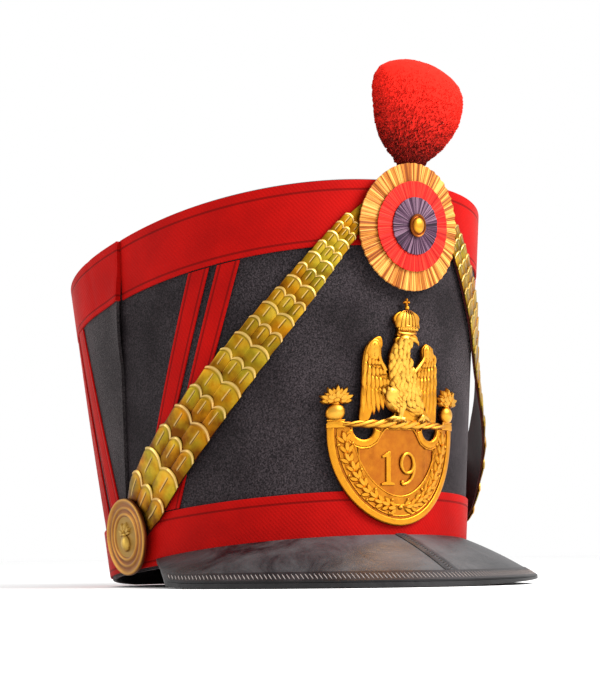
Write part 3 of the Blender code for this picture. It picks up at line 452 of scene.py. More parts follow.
for name, shares, raised, rise, cloth in (("top_band", TOP_BAND, 0.0, TOP_BAND_RISE, top_braid),
                                          ("bottom_band", BOTTOM_BAND, BAND_RAISE, 0.0, bottom_braid)):
    width = middle_width(*shares) - raised

    def band_front(k, t, z):
        share = shares[0] + t * (shares[1] - shares[0])
        x, y, z = front_rule(k, share, z, spread=-FOLD - GAP)
        return x, y + raised * (1 - t) + rise * t, z

    def band_back(k, t, z):
        share = shares[0] + t * (shares[1] - shares[0])
        x, y, z = back_rule(-k, share, z)
        return x, y + raised * (1 - t) + rise * t - TOP_SLOPE * 3.4 * share, z

    def band_fold(x, t, z):
        around, height, out = band_back(x * 0 - 1, t, z)
        return around + 0.5 * FOLD * (1 + x), height, out

    shape = cloth_strip(160, 10, band_front, width, BRAID)
    onto_crown(shape, lambda x, y: GAP + BRAID)
    piece(f"{name}_braid_front", shape, cloth, "red_braid", f"{name}_front")
    shape = cloth_strip(160, 10, band_back, width, BRAID)
    # its end at the gaping edge is folded over the felt
    fold = grid(2, 10)
    cloth_layer = fold.verts.layers.float_vector.new("cloth")
    for vert in fold.verts:
        vert[cloth_layer] = (vert.co.x, vert.co.y * width, (1 - vert.co.y) * width)
    reshape(fold, band_fold)
    thicken(fold, GAP + FELT + GAP + 0.6 * BRAID)
    merge(shape, fold)
    onto_crown(shape, lambda x, y: over_back(x, y) + GAP + BRAID)
    piece(f"{name}_braid_back", shape, cloth, "red_braid", f"{name}_back")

for side, side_name in ((1, "right"), (-1, "left")):
    for arm, foot, lean in CHEVRON_ARMS:
        for step, place_name in enumerate(("inner", "outer")):
            slant = math.hypot(1.0, lean)
            middle = foot + math.copysign(step, lean) * (CHEVRON_WIDTH + CHEVRON_SPACE) * slant

            def strip(k, t, z):
                height = CHEVRON_FOOT
                for _ in range(5):
                    around = middle + lean * (height - CHEVRON_FOOT) + k * side * CHEVRON_WIDTH / 2 * slant
                    low = height_at(around, BOTTOM_BAND[1]) + 0.5
                    high = height_at(around, TOP_BAND[0]) - 0.7
                    height = low + t * (high - low)
                return -side * around, height, z

            # The strip's cloth runs up it, so its width lies along the band's height.
            shape = grid(10, 40)
            cloth = shape.verts.layers.float_vector.new("cloth")
            places = np.array([vert.co for vert in shape.verts])
            flat = np.stack(strip(-places[:, 0], places[:, 1], places[:, 2]), axis=-1)
            for vert, place in zip(shape.verts, flat):
                vert[cloth] = (place[1] + 300 * step, (vert.co.x + 1) / 2 * CHEVRON_WIDTH,
                               (1 - vert.co.x) / 2 * CHEVRON_WIDTH)
                vert.co = place
            thicken(shape, CHEVRON_THICKNESS)
            round_edges(shape, CHEVRON_THICKNESS, 0.3)
            if arm == "front":
                onto_crown(shape, lambda x, y: GAP + CHEVRON_THICKNESS)
            elif side > 0:
                onto_crown(shape, lambda x, y: over_back(x, y) + GAP + CHEVRON_THICKNESS)
            else:
                onto_crown(shape, lambda x, y: FELT + GAP + GAP + CHEVRON_THICKNESS)
            piece(f"chevron_{side_name}_{arm}_{place_name}_strip", shape, chevron_braid, "red_braid",
                  f"chevron_{side_name}_{arm}_{place_name}")

# ---------------------------------------------------------------- peak
# A half-moon of thick black leather, sewn in under the rim's front. A strip with radial stitches
# binds its outer edge, and a narrow strip with a zigzag of thread covers the seam at its middle.
PEAK_LEATHER = 2.4
PEAK_JOINT = 7.3
PEAK_JOINT_DROP = 2.4
PEAK_END = 139.5
PEAK_RADIUS = 113.0
PEAK_CENTRE = -33.0
PEAK_ARC = math.radians(82.7)
PEAK_CAMBER = 1.6
PEAK_CORNER = 0.10
PEAK_CURL = 1.5  # the leather is worn thin and curls up a little towards the wearer's left
BORDER_WIDTH = 8.4
BORDER_LEATHER = 0.8
BORDER_REACH = 0.985  # share of the way from the peak's middle to its corners
SEAM_STRIP = 6.4
SEAM_STRIP_TOP = 0.75
EDGE_STITCH_PITCH = 2.3
SEAM_STITCHES = 44
UNSTAND = np.linalg.inv(STAND)


def peak_rule(k, share, up):
    """Point of the peak: k from its right end to its left end, share from the crown to the edge."""
    k = -np.asarray(k, float)
    curl = np.clip(-k / 0.6, 0.0, 1.0) ** 1.2
    up = up * (1 - 0.55 * curl) + PEAK_CURL * curl * share
    inner = wall(k * PEAK_END, PEAK_JOINT - PEAK_JOINT_DROP * np.abs(k) ** 3, GAP + BRAID + GAP).T
    turn = k * PEAK_ARC
    table = np.stack([SIDE_SHIFT - PEAK_RADIUS * np.sin(turn),
                      PEAK_CENTRE - PEAK_RADIUS * np.cos(turn) + DEPTH_SHIFT,
                      np.full_like(turn, PEAK_LEATHER), np.ones_like(turn)])
    outer = (UNSTAND @ table)[:3]
    rounding = 1 - PEAK_CORNER * (np.maximum(0.0, np.abs(k) - 0.9) / 0.1) ** 3
    x, y, z = inner + share * rounding * (outer - inner)
    return x, y, z + PEAK_CAMBER * 4 * share * (1 - share) + up


def peak_width(k):
    """Width of the peak from the crown to its outer edge."""
    ends = [np.stack(peak_rule(k, np.full_like(k, share), 0.0), axis=-1) for share in (0.0, 1.0)]
    return np.linalg.norm(ends[1] - ends[0], axis=-1)


def polished_leather(name, low, high):
    """Patent-like black leather with a cloudy shine; a painted sheen makes it lighter towards its middle."""
    made, tree, shader = finish(name, Coat_Weight=0.06, Coat_Roughness=0.3, Specular_IOR_Level=0.2)
    flat = add(tree, "SeparateXYZ", {0: add(tree, "Attribute", attribute_name="flat").outputs["Vector"]})
    place = add(tree, "TexCoord").outputs["Object"]
    cloud = add(tree, "TexNoise", {"Vector": place, "Scale": 34.0, "Detail": 9.0, "Roughness": 0.72,
                                   "Distortion": 0.7})
    fine = add(tree, "TexNoise", {"Vector": place, "Scale": 420.0, "Detail": 3.0})
    # painted sheen: the leather is coloured lighter towards the peak's middle
    off = add(tree, "Math", {0: flat.outputs[0], 1: -0.1}, operation="SUBTRACT")
    off = add(tree, "Math", {0: off}, operation="ABSOLUTE")
    painted_sheen = add(tree, "MapRange", {"Value": off, "From": (0.0, 0.42), "To": (0.42, 0.0)},
               interpolation_type="SMOOTHSTEP")
    tone = add(tree, "Math", {0: cloud, 1: 1.5, 2: painted_sheen}, operation="MULTIPLY_ADD")
    base = add(tree, "MixRGB", {"Fac": add(tree, "MapRange", {"Value": tone, "From": (0.55, 1.25)}),
                                "Color1": low, "Color2": high})
    rim = add(tree, "MapRange", {"Value": flat.outputs[1], "From": (0.0, 0.05), "To": (0.85, 0.0)})
    base = add(tree, "MixRGB", {"Fac": rim, "Color1": base, "Color2": "#0B0A0B"})
    relief = add(tree, "Math", {0: cloud, 1: 3.0, 2: fine}, operation="MULTIPLY_ADD")
    link(tree, shader, Base_Color=base,
         Roughness=add(tree, "MapRange", {"Value": cloud, "From": (0.3, 0.7), "To": (0.34, 0.52)}),
         Normal=add(tree, "Bump", {"Strength": 0.3, "Distance": 0.0005, "Height": relief}))
    return made


peak_leather = polished_leather("polished_peak_leather", "#100F12", "#585657")
strip_leather = polished_leather("dark_strip_leather", "#0F0D0F", "#363132")


def leather_sheet(across, up, thickness):
    """A sheet of leather, from -1 to 1 across and from the peak's edge (0) to the crown (1)."""
    shape = grid(across, up)
    keep_place(shape)
    reshape(shape, lambda k, share, z: (k, 1 - share, z))
    thicken(shape, thickness)
    return shape


shape = leather_sheet(140, 24, PEAK_LEATHER)
reshape(shape, peak_rule)
piece("peak_leather", shape, peak_leather, "black_leather", "peak", sharp=50.0)

shape = leather_sheet(160, 6, BORDER_LEATHER)
reshape(shape, lambda k, t, z: peak_rule(BORDER_REACH * k,
                                         1 - (1 - t) * BORDER_WIDTH / peak_width(BORDER_REACH * k),
                                         GAP + BORDER_LEATHER + z))
piece("peak_edge_strip", shape, strip_leather, "black_leather", "peak_border", sharp=50.0)

middle_length = float(peak_width(np.zeros(1))[0])
half = SEAM_STRIP / 2 / (PEAK_ARC * (PEAK_RADIUS - middle_length / 2))
shape = leather_sheet(6, 24, BORDER_LEATHER)
strip_length = middle_length - BORDER_WIDTH - 2 * GAP
reshape(shape, lambda k, t, z: peak_rule(half * k, (GAP + t * strip_length) / middle_length,
                                         SEAM_STRIP_TOP + z - 0.25 * k ** 4))
piece("peak_seam_strip", shape, peak_leather, "black_leather", "peak_seam", sharp=50.0)

# Waxed linen thread, pale buff, with the slight sheen of its wax.
thread, tree, shader = finish("waxed_linen_thread", Roughness=0.6, Sheen_Weight=0.2)
place = add(tree, "TexCoord").outputs["Object"]
twist = add(tree, "TexNoise", {"Vector": place, "Scale": 900.0, "Detail": 2.0})
link(tree, shader, Base_Color=add(tree, "MixRGB", {"Fac": twist, "Color1": "#5E5452", "Color2": "#A1958F"}),
     Normal=add(tree, "Bump", {"Strength": 0.4, "Distance": 0.0002, "Height": twist}))


def stitch(shape, middle, half_long, half_wide, turn):
    """One stitch of thread, a low bead in the flat plane."""
    matrix = (Matrix.Translation((*middle, 0.0)) @ Matrix.Rotation(turn, 4, "Z")
              @ Matrix.Diagonal((half_wide, half_long, 0.32, 1.0)))
    bmesh.ops.create_icosphere(shape, subdivisions=1, radius=1.0, matrix=matrix)


PEAK_EDGE = 2 * PEAK_ARC * PEAK_RADIUS * BORDER_REACH
shape = bmesh.new()
count = round(PEAK_EDGE / EDGE_STITCH_PITCH)
for k in range(count):
    stitch(shape, ((k + 0.5) / count * PEAK_EDGE - PEAK_EDGE / 2, 4.5), 2.8, 0.34, 0.0)
reshape(shape, lambda x, y, z: peak_rule(2 * BORDER_REACH * x / PEAK_EDGE,
                                         1 - (BORDER_WIDTH - y) / peak_width(x / PEAK_EDGE * 2),
                                         GAP + BORDER_LEATHER + z))
piece("peak_edge_stitches", shape, thread, "black_leather", sharp=180.0)

# The zigzag's thread is blacked together with the strip, so it wears the strip's dark finish.
shape = bmesh.new()
for k in range(SEAM_STITCHES):
    along = 1.5 + k * (middle_length - BORDER_WIDTH - 3) / SEAM_STITCHES
    stitch(shape, (0.0, along), 1.9, 0.3, 0.9 if k % 2 else -0.9)
reshape(shape, lambda x, y, z: peak_rule(x / SEAM_STRIP * 2 * half, y / middle_length,
                                         SEAM_STRIP_TOP + 0.5 * z))
piece("peak_seam_stitches", shape, strip_leather, "black_leather", sharp=180.0)

# ---------------------------------------------------------------- chin scales
# Rows of stamped brass scales, each over the foot of the next, are riveted to a leather strap
# that runs from the boss up to the cockade. Rows have three lobes and two by turns, a bead along
# the rounded edge and a scored line down each lobe. The left strap stands away from the crown.
STRAP_LIFT = 1.6
STRAP_LEATHER = 1.1
SCALE_RISE = 1.6
SCALE_ROWS = 18
SCALE_PITCH = 15.3
SCALE_SHRINK = 0.94
FIRST_ROW_EDGE = 31.4
FIRST_ROW_WIDTH = 35.5
LOBE_DEPTH = 0.23
STRAP_START = 9.0
STRAP_FULL_AT = 22.0
STRAP_START_WIDTH = 27.0
STRAP_END_WIDTH = 7.5
BOW_TWIST_TO = 70.0
STRAP_LINE = np.array((  # round the crown and up, from the boss to the cockade
    (162.8, 18.8), (142.1, 42.3), (109.3, 75.6), (85.7, 101.3), (62.9, 127.8), (35.6, 161.5), (22.0, 174.4),
    (9.0, 177.0), (0.4, 177.0)))
LEFT_BOW = np.array((  # along the left strap, and how far it stands away from the crown there
    (-20.0, 0.6), (0.0, 7.4), (20.0, 14.0), (35.0, 18.6), (55.0, 13.6), (80.0, 7.5), (115.0, 0.6),
    (150.0, 0.0), (190.0, 0.0), (215.0, 0.0), (300.0, 0.0)))
STRAP_ROUTE = np.column_stack([np.concatenate([[0.0], np.cumsum(np.hypot(*np.diff(STRAP_LINE, axis=0).T))]),
                               STRAP_LINE])
STRAP_LENGTH = STRAP_ROUTE[-1, 0]


def smooth(table, at):
    """Values of a smooth curve through a table's rows, the first column being the place."""
    places, values = table[:, 0], table[:, 1:]
    row = np.clip(np.searchsorted(places, at) - 1, 0, len(places) - 2)
    before, after = np.maximum(row - 1, 0), np.minimum(row + 2, len(places) - 1)
    gap = (places[row + 1] - places[row])[:, None]
    slope_in = (values[row + 1] - values[before]) / (places[row + 1] - places[before])[:, None] * gap
    slope_out = (values[after] - values[row]) / (places[after] - places[row])[:, None] * gap
    t = (at - places[row])[:, None] / gap
    return ((2 * t ** 3 - 3 * t ** 2 + 1) * values[row] + (t ** 3 - 2 * t ** 2 + t) * slope_in
            + (3 * t ** 2 - 2 * t ** 3) * values[row + 1] + (t ** 3 - t ** 2) * slope_out)


def strap_rule(side):
    """Lays a flat strap on the crown: X across it, Y along it from the boss, Z out."""
    def rule(across, along, out):
        middle = smooth(STRAP_ROUTE, along)
        step = (smooth(STRAP_ROUTE, np.minimum(along + 0.5, STRAP_LENGTH))
                - smooth(STRAP_ROUTE, np.maximum(along - 0.5, 0)))
        step = step / np.hypot(step[:, 0], step[:, 1])[:, None]
        around = middle[:, 0] + step[:, 1] * across
        height = middle[:, 1] - step[:, 0] * across
        twist = np.maximum(0.0, 1 - along / BOW_TWIST_TO) * step[:, 1] / np.maximum(1e-6, np.abs(step[:, 0]))
        bow = smooth(LEFT_BOW, along - across * twist)[:, 0] if side < 0 else 0.0
        return wall(side * around, height, out + bow).T
    return rule


def row_edge(row):
    """Distance along the strap of a row's rounded edge."""
    return FIRST_ROW_EDGE + SCALE_PITCH * (1 - SCALE_SHRINK ** row) / (1 - SCALE_SHRINK)


def strap_width(along):
    """Width of the scales at a distance along the strap."""
    last = row_edge(SCALE_ROWS - 1)
    last_width = FIRST_ROW_WIDTH * SCALE_SHRINK ** (SCALE_ROWS - 1)
    return np.interp(along, (STRAP_START, STRAP_FULL_AT, FIRST_ROW_EDGE, last, last + 0.5, STRAP_LENGTH),
                     (STRAP_START_WIDTH, FIRST_ROW_WIDTH, FIRST_ROW_WIDTH, last_width, STRAP_END_WIDTH,
                      STRAP_END_WIDTH))


# Sheet brass with an olive tarnish, with painted highlights along the beads and beside the scored lines, and
# painted shade in the scored lines, in the grooves and over the sides and foot of each lobe.
scale_brass, tree, shader = finish("tarnished_scale_brass", Metallic=1.0)
painted_light_and_tone = add(tree, "SeparateXYZ", {0: add(tree, "Attribute", attribute_name="painted_light_and_tone").outputs["Vector"]})
place = add(tree, "TexCoord").outputs["Object"]
cloud = add(tree, "TexNoise", {"Vector": place, "Scale": 130.0, "Detail": 3.0})
tint = add(tree, "Math", {0: cloud, 1: painted_light_and_tone.outputs[2]}, operation="ADD")
warm = add(tree, "TexNoise", {"Vector": place, "Scale": 60.0, "Detail": 2.0})
base = add(tree, "MixRGB", {"Fac": add(tree, "MapRange", {"Value": warm, "From": (0.4, 0.62)}),
                            "Color1": "#94801C", "Color2": "#B0720E"})
base = add(tree, "MixRGB", {"Fac": add(tree, "MapRange", {"Value": tint, "From": (0.75, 1.25)}),
                            "Color1": "#5C3208", "Color2": base})
base = add(tree, "MixRGB", {"Fac": add(tree, "MapRange", {"Value": tint, "From": (1.2, 1.6)}),
                            "Color1": base, "Color2": "#BE9C30"})
# painted highlights on the beads and beside the scored lines, then painted shade in the lines and grooves
base = add(tree, "MixRGB", {"Fac": painted_light_and_tone.outputs[0], "Color1": base, "Color2": "#E0BC7C"})
base = add(tree, "MixRGB", {"Fac": painted_light_and_tone.outputs[1], "Color1": base, "Color2": "#2A1804"})
link(tree, shader, Base_Color=base,
     Roughness=add(tree, "MapRange", {"Value": cloud, "From": (0.3, 0.7), "To": (0.3, 0.48)}),
     Normal=add(tree, "Bump", {"Strength": 0.12, "Distance": 0.0005, "Height": cloud}))

# The strap's leather is dark maroon, coloured darker still as painted shade for its inner face, which lies in
# shadow.
strap_leather, tree, shader = finish("maroon_strap_leather", Roughness=0.6, Specular_IOR_Level=0.12)
place = add(tree, "TexCoord").outputs["Object"]
grain = add(tree, "TexNoise", {"Vector": place, "Scale": 500.0, "Detail": 4.0})
link(tree, shader, Base_Color=add(tree, "MixRGB", {"Fac": grain, "Color1": "#220909", "Color2": "#4A1412"}),
     Normal=add(tree, "Bump", {"Strength": 0.3, "Distance": 0.0003, "Height": grain}))


def scale_row(shape, row, tint):
    """One row of scales, flat: lobes that swell, a bead along the rounded edge, a scored line in each."""
    pitch, edge = SCALE_PITCH * SCALE_SHRINK ** row, row_edge(row)
    foot = (STRAP_START if row == 0 else row_edge(row - 1) - 0.45 * pitch)
    lobes = 3 if row % 2 == 0 else 2
    part = grid(72, 20)
    layer = part.verts.layers.float_vector.new("painted_light_and_tone")
    places = np.array([vert.co for vert in part.verts])
    across = places[:, 0]
    t = places[:, 1] ** 0.8
    in_lobe = (across + 1) / 2 * lobes
    in_lobe = 2 * (in_lobe - np.minimum(np.floor(in_lobe), lobes - 1)) - 1
    fall = LOBE_DEPTH * pitch * np.abs(in_lobe) ** 2.2
    along = foot + t * (edge - fall - foot)
    to_edge = edge - fall - along
    half = strap_width(np.maximum(along, STRAP_FULL_AT if row else STRAP_START)) / 2
    half = half * (0.95 + 0.07 * np.clip((along - edge + pitch) / pitch, 0.0, 1.0))
    size = SCALE_SHRINK ** (row / 2)
    bead = np.exp(-((to_edge - 0.75) / (0.6 * size)) ** 2)
    scored = (to_edge > 0.3 * pitch) * (to_edge < 0.9 * pitch)
    aside = in_lobe * half / lobes
    line = np.exp(-(aside / (0.4 * size)) ** 2) * scored
    glint = np.exp(-((aside - 0.55 * size) / (0.35 * size)) ** 2) * scored
    groove = np.exp(-((to_edge - 2.1 * size) / (0.4 * size)) ** 2)
    rise = 0.25 + (SCALE_RISE - 0.55) * size * np.clip((along - foot) / (edge - foot), 0.0, 1.0) ** 1.3
    swell = 0.75 * size * np.sqrt(np.clip(1 - in_lobe ** 2, 0.0, 1.0)) * np.clip(to_edge / 1.6, 0.25, 1.0)
    out = (rise + swell * (along > edge - 1.3 * pitch) + 0.42 * size * bead
           - 0.3 * size * (line + 0.6 * groove))
    # painted light and shade: each lobe lighter near its rounded edge and darker at its sides and foot, added
    # to each row's random tint
    shade = tint + 0.45 * np.clip(1 - to_edge / pitch, 0.0, 1.0) - 0.25 * in_lobe ** 2
    painted_highlight = np.maximum(0.8 * bead, 0.7 * glint)
    painted_groove_shade = np.maximum(0.9 * line, 0.75 * groove)
    for vert, x, y, z, *look in zip(part.verts, across * half, along, out, painted_highlight, painted_groove_shade, shade):
        vert.co = (x, y, z)
        vert[layer] = look
    thicken(part, 0.55 * size)
    merge(shape, part)


def flat_strap(x, y, z):
    """Lays the leather under the scales, a little narrower than they are."""
    along = STRAP_START + y * (STRAP_LENGTH - STRAP_START)
    return 0.93 * x * strap_width(along) / 2, along, z + STRAP_LIFT + STRAP_LEATHER


random = np.random.default_rng(19)
row_tints = random.uniform(0.32, 0.62, SCALE_ROWS) + np.linspace(-0.06, 0.16, SCALE_ROWS)
for side, side_name in ((1, "right"), (-1, "left")):
    shape = bmesh.new()
    shape.verts.layers.float_vector.new("painted_light_and_tone")
    for row in range(SCALE_ROWS):
        scale_row(shape, row, row_tints[row])
    # The plain end of the strap, a narrow brass tongue under the cockade.
    tongue = grid(6, 20)
    layer = tongue.verts.layers.float_vector.new("painted_light_and_tone")
    start = row_edge(SCALE_ROWS - 1) - 4.0
    for vert in tongue.verts:
        vert[layer] = (0.0, 0.0, 0.5)
        width = STRAP_END_WIDTH / 2 + 1.2 * max(0.0, 1 - vert.co.y * 4)
        vert.co = (vert.co.x * width, start + vert.co.y * (STRAP_LENGTH - 0.5 - start),
                   0.5 - 0.25 * vert.co.x ** 2)
    thicken(tongue, 0.45)
    merge(shape, tongue)
    bmesh.ops.translate(shape, verts=shape.verts, vec=(0, 0, STRAP_LIFT + STRAP_LEATHER))
    reshape(shape, strap_rule(side))
    bmesh.ops.recalc_face_normals(shape, faces=shape.faces)
    piece(f"brass_scales_{side_name}", shape, scale_brass, "scale_brass", f"chin_scales_{side_name}",
          sharp=40.0)

    # The strap under them is leather.
    shape = grid(8, 120)
    reshape(shape, flat_strap)
    thicken(shape, STRAP_LEATHER)
    reshape(shape, strap_rule(side))
    bmesh.ops.recalc_face_normals(shape, faces=shape.faces)
    piece(f"scale_strap_{side_name}", shape, strap_leather, "scale_brass")

# ---------------------------------------------------------------- bosses
# A turned bronze boss holds the foot of each strap: a rim, two raised rings, a hatched field and a
# flaming grenade at its middle. The left one leans out with its bowed strap, on a short post.
BOSS_AROUND = 162.8
BOSS_HEIGHT = 18.8
BOSS_RADIUS = 20.3
BOSS_LIFT = 3.8
LEFT_BOSS_TURN = math.radians(20.0)
LEFT_BOSS_LIFT = 11.0
POST_RADIUS = 2.4

# Cast bronze: red-brown in the hollows, rubbed to gold on the raised rings and the grenade.
bronze, tree, shader = finish("rubbed_bronze", Metallic=0.9)
flat = add(tree, "Attribute", attribute_name="flat").outputs["Vector"]
parts = add(tree, "SeparateXYZ", {0: flat})
place = add(tree, "TexCoord").outputs["Object"]
cloud = add(tree, "TexNoise", {"Vector": place, "Scale": 160.0, "Detail": 4.0})
hatch = add(tree, "TexWave", {"Vector": flat, "Scale": 0.42, "Distortion": 0.3}, bands_direction="Y")
height = add(tree, "Math", {0: cloud, 1: 0.7, 2: parts.outputs[2]}, operation="MULTIPLY_ADD")
base = add(tree, "MixRGB", {"Fac": add(tree, "MapRange", {"Value": height, "From": (1.9, 2.75)}),
                            "Color1": "#744020", "Color2": "#B08038"})
base = add(tree, "MixRGB", {"Fac": add(tree, "MapRange", {"Value": height, "From": (2.8, 4.2)}),
                            "Color1": base, "Color2": "#C9A24C"})
middle = add(tree, "VectorMath", {0: flat, 1: (1.0, 1.0, 0.0)}, operation="MULTIPLY")
middle = add(tree, "VectorMath", {0: middle}, operation="LENGTH").outputs["Value"]
middle = add(tree, "MapRange", {"Value": middle, "From": (10.6, 11.0), "To": (0.6, 0.0)})
base = add(tree, "MixRGB", {"Fac": middle, "Color1": base, "Color2": "#A5883C"})
link(tree, shader, Base_Color=base,
     Roughness=add(tree, "MapRange", {"Value": cloud, "To": (0.3, 0.5)}),
     Normal=add(tree, "Bump", {"Strength": 0.15, "Distance": 0.0004, "Height": hatch.outputs["Fac"]}))


def wall_frame(around, height, lift, turn=0.0):
    """Matrix of a flat piece on the crown: its Z points out, its Y up; turn swings its front out."""
    point = Vector(wall(around, height, lift))
    side = (Vector(wall(around - 1, height, lift)) - Vector(wall(around + 1, height, lift))).normalized()
    rise = (Vector(wall(around, height + 1, lift)) - Vector(wall(around, height - 1, lift))).normalized()
    out = side.cross(rise).normalized()
    basis = Matrix((side, out.cross(side), out)).transposed().to_4x4()
    return Matrix.Translation(point) @ basis @ Matrix.Rotation(turn, 4, "Y")


def leaf(shape, foot, length, width, turn, rise, base, point=0.5, sides=10):
    """A leaf, feather or flame lying flat: it starts at its foot, turned from upright, and swells."""
    made = bmesh.ops.create_cone(shape, cap_ends=True, segments=sides, radius1=1.0, radius2=0.6, depth=1.0)
    for vert in made["verts"]:
        x, y, z = vert.co
        x *= (1 - point * max(0.0, y) ** 2) * (1 - 0.25 * max(0.0, -y))
        x, y = x * width / 2, (y + 1) * length / 2
        vert.co = (foot[0] + x * math.cos(turn) - y * math.sin(turn),
                   foot[1] + x * math.sin(turn) + y * math.cos(turn), base + (z + 0.5) * rise)


def flames(shape, foot, reach, base, rise, tongues=9):
    """A grenade's burst of flame, fanned out above its neck."""
    for k in range(tongues):
        turn = math.radians(-84 + 168 * k / (tongues - 1))
        leaf(shape, (foot[0] - 0.18 * reach * math.sin(turn), foot[1] + 0.15 * reach * math.cos(turn)),
             reach * (0.95 if k % 2 else 0.8), 3.9 / tongues * reach, turn,
             rise * (1.0 if k % 2 else 0.8), base, 0.75)


def ball(shape, middle, half_x, half_y, half_z, base):
    """A rounded ball, half sunk."""
    matrix = Matrix.Translation((*middle, base)) @ Matrix.Diagonal((half_x, half_y, half_z, 1))
    bmesh.ops.create_uvsphere(shape, u_segments=24, v_segments=14, radius=1.0, matrix=matrix)


boss_profile = (
    (0.0, 1.7), (6.0, 1.66), (10.6, 1.5), (11.0, 1.6), (11.4, 2.25), (12.0, 2.4), (12.6, 2.2), (13.0, 1.7),
    (14.4, 1.6), (14.9, 2.1), (15.4, 2.25), (15.9, 2.05), (16.3, 1.7), (17.6, 1.75), (18.7, 2.1), (19.3, 2.5),
    (19.9, 2.4), (BOSS_RADIUS, 1.9), (BOSS_RADIUS, 0.3), (20.0, 0.0), (0.0, 0.0))
for side, side_name in ((1, "right"), (-1, "left")):
    shape = bmesh.new()
    turned(shape, boss_profile, 96)
    ball(shape, (0.0, -3.4), 3.9, 4.4, 2.7, 1.7)
    ball(shape, (0.0, 1.2), 1.8, 1.0, 1.5, 2.0)
    flames(shape, (0.0, 1.4), 6.2, 1.6, 1.3)
    turn, lift = 0.0, BOSS_LIFT
    if side < 0:
        turn, lift = LEFT_BOSS_TURN, LEFT_BOSS_LIFT
        reach = (LEFT_BOSS_LIFT - 3.7 - POST_RADIUS * math.sin(turn)) / math.cos(turn)
        bmesh.ops.create_cone(shape, cap_ends=True, segments=24, radius1=POST_RADIUS, radius2=POST_RADIUS,
                              depth=reach + 0.6, matrix=Matrix.Translation((0, 0, (0.6 - reach) / 2)))
    keep_place(shape)
    bmesh.ops.transform(shape, verts=shape.verts,
                        matrix=wall_frame(side * BOSS_AROUND, BOSS_HEIGHT, lift, turn))
    piece(f"bronze_boss_{side_name}", shape, bronze, "bronze", f"boss_{side_name}", sharp=50.0)

# ---------------------------------------------------------------- front plate
# A plate of stamped and gilt brass: an eagle with a crown stands on a twisted bar over a half-moon
# shield with a laurel border and the regiment's number. Everything on it is raised.
PLATE_LIFT = 1.8
PLATE_AROUND = 1.8
PLATE_LEAN = 0.03
PLATE_FOOT = 11.5
PLATE_WIDTH_SCALE = 0.965
PLATE_HEIGHT_SCALE = 1.016
SHIELD_HALF_WIDTH = 39.0
SHIELD_DEPTH = 46.9
SHIELD_MIDDLE = 58.4
SHIELD_TOP = 62.0
SHIELD_RIM = 3.6
SHIELD_SPREAD = 0.08
SPREAD_BELOW = (66.0, 96.0)  # whole under the first height, none over the second
HOLE_OFFSET = 20.8
HOLE_TOP = 60.0
LEFT_WING = (
    (-10.0, 89.5), (-11.5, 92.5), (-13.5, 96.5), (-11.0, 101.0), (-12.0, 105.5), (-16.0, 104.8),
    (-20.5, 100.8), (-22.4, 95.0), (-22.6, 88.0), (-22.4, 76.0), (-23.2, 63.0), (-18.6, 63.5),
    (-15.2, 71.0), (-9.5, 76.5), (-6.0, 84.0))
RIGHT_WING = (
    (8.0, 89.0), (11.7, 91.7), (15.0, 95.9), (14.9, 100.4), (18.3, 103.2), (22.1, 99.9), (24.4, 96.5),
    (25.4, 90.0), (25.8, 77.4), (25.3, 63.0), (20.8, 64.0), (16.3, 71.8), (11.5, 76.5), (7.5, 82.0))
BODY = (
    (-7.0, 94.9), (-6.2, 98.5), (-3.3, 102.6), (-2.2, 105.6), (9.3, 107.2), (11.6, 104.0), (6.9, 102.6),
    (5.0, 98.5), (6.0, 93.5), (8.7, 89.0), (12.0, 82.0), (9.8, 75.0), (17.0, 69.0), (21.8, 63.5),
    (10.0, 62.5), (-6.0, 63.0), (-3.6, 68.2), (-8.2, 73.0), (-8.6, 76.5), (-6.5, 81.0), (-7.4, 88.5))
CROWN = (
    (-1.5, 106.0), (-1.2, 109.6), (-4.2, 115.0), (-1.5, 118.0), (3.4, 119.0), (5.8, 119.0), (10.5, 118.0),
    (13.0, 115.0), (10.2, 109.6), (10.0, 106.5))

LEFT_RIDGE = (
    (-9.5, 88.5), (-12.6, 93.5), (-13.6, 98.0), (-13.4, 101.6), (-16.0, 103.6), (-19.6, 100.6),
    (-21.4, 95.0), (-21.8, 86.0), (-21.6, 76.0))
RIGHT_RIDGE = (
    (8.6, 88.0), (12.8, 91.8), (16.0, 96.0), (16.2, 100.0), (18.6, 101.8), (22.0, 98.6), (24.0, 93.0),
    (24.8, 85.0), (24.8, 76.0))
FEATHER_ROWS = (  # height, length, how many, base, and where along the wing they start and how far they run
    (83.0, 19.2, 7, 1.7, 0.04, 0.92), (88.0, 11.0, 7, 1.95, 0.04, 0.92), (92.5, 8.0, 6, 2.15, 0.2, 0.74),
    (96.5, 6.0, 5, 2.3, 0.42, 0.5))
SIDES_OF_BODY = np.array((  # height, and how far the body reaches to each side
    (66.0, -2.0, 19.0), (70.0, -4.0, 15.5), (73.0, -7.0, 12.5), (76.5, -7.8, 10.4), (80.0, -6.4, 11.2),
    (84.0, -6.6, 11.0), (88.0, -7.0, 9.2), (91.0, -7.1, 7.4), (95.0, -6.8, 5.8), (98.5, -6.0, 5.2),
    (102.0, -3.4, 6.0), (105.0, -1.6, 7.0)))

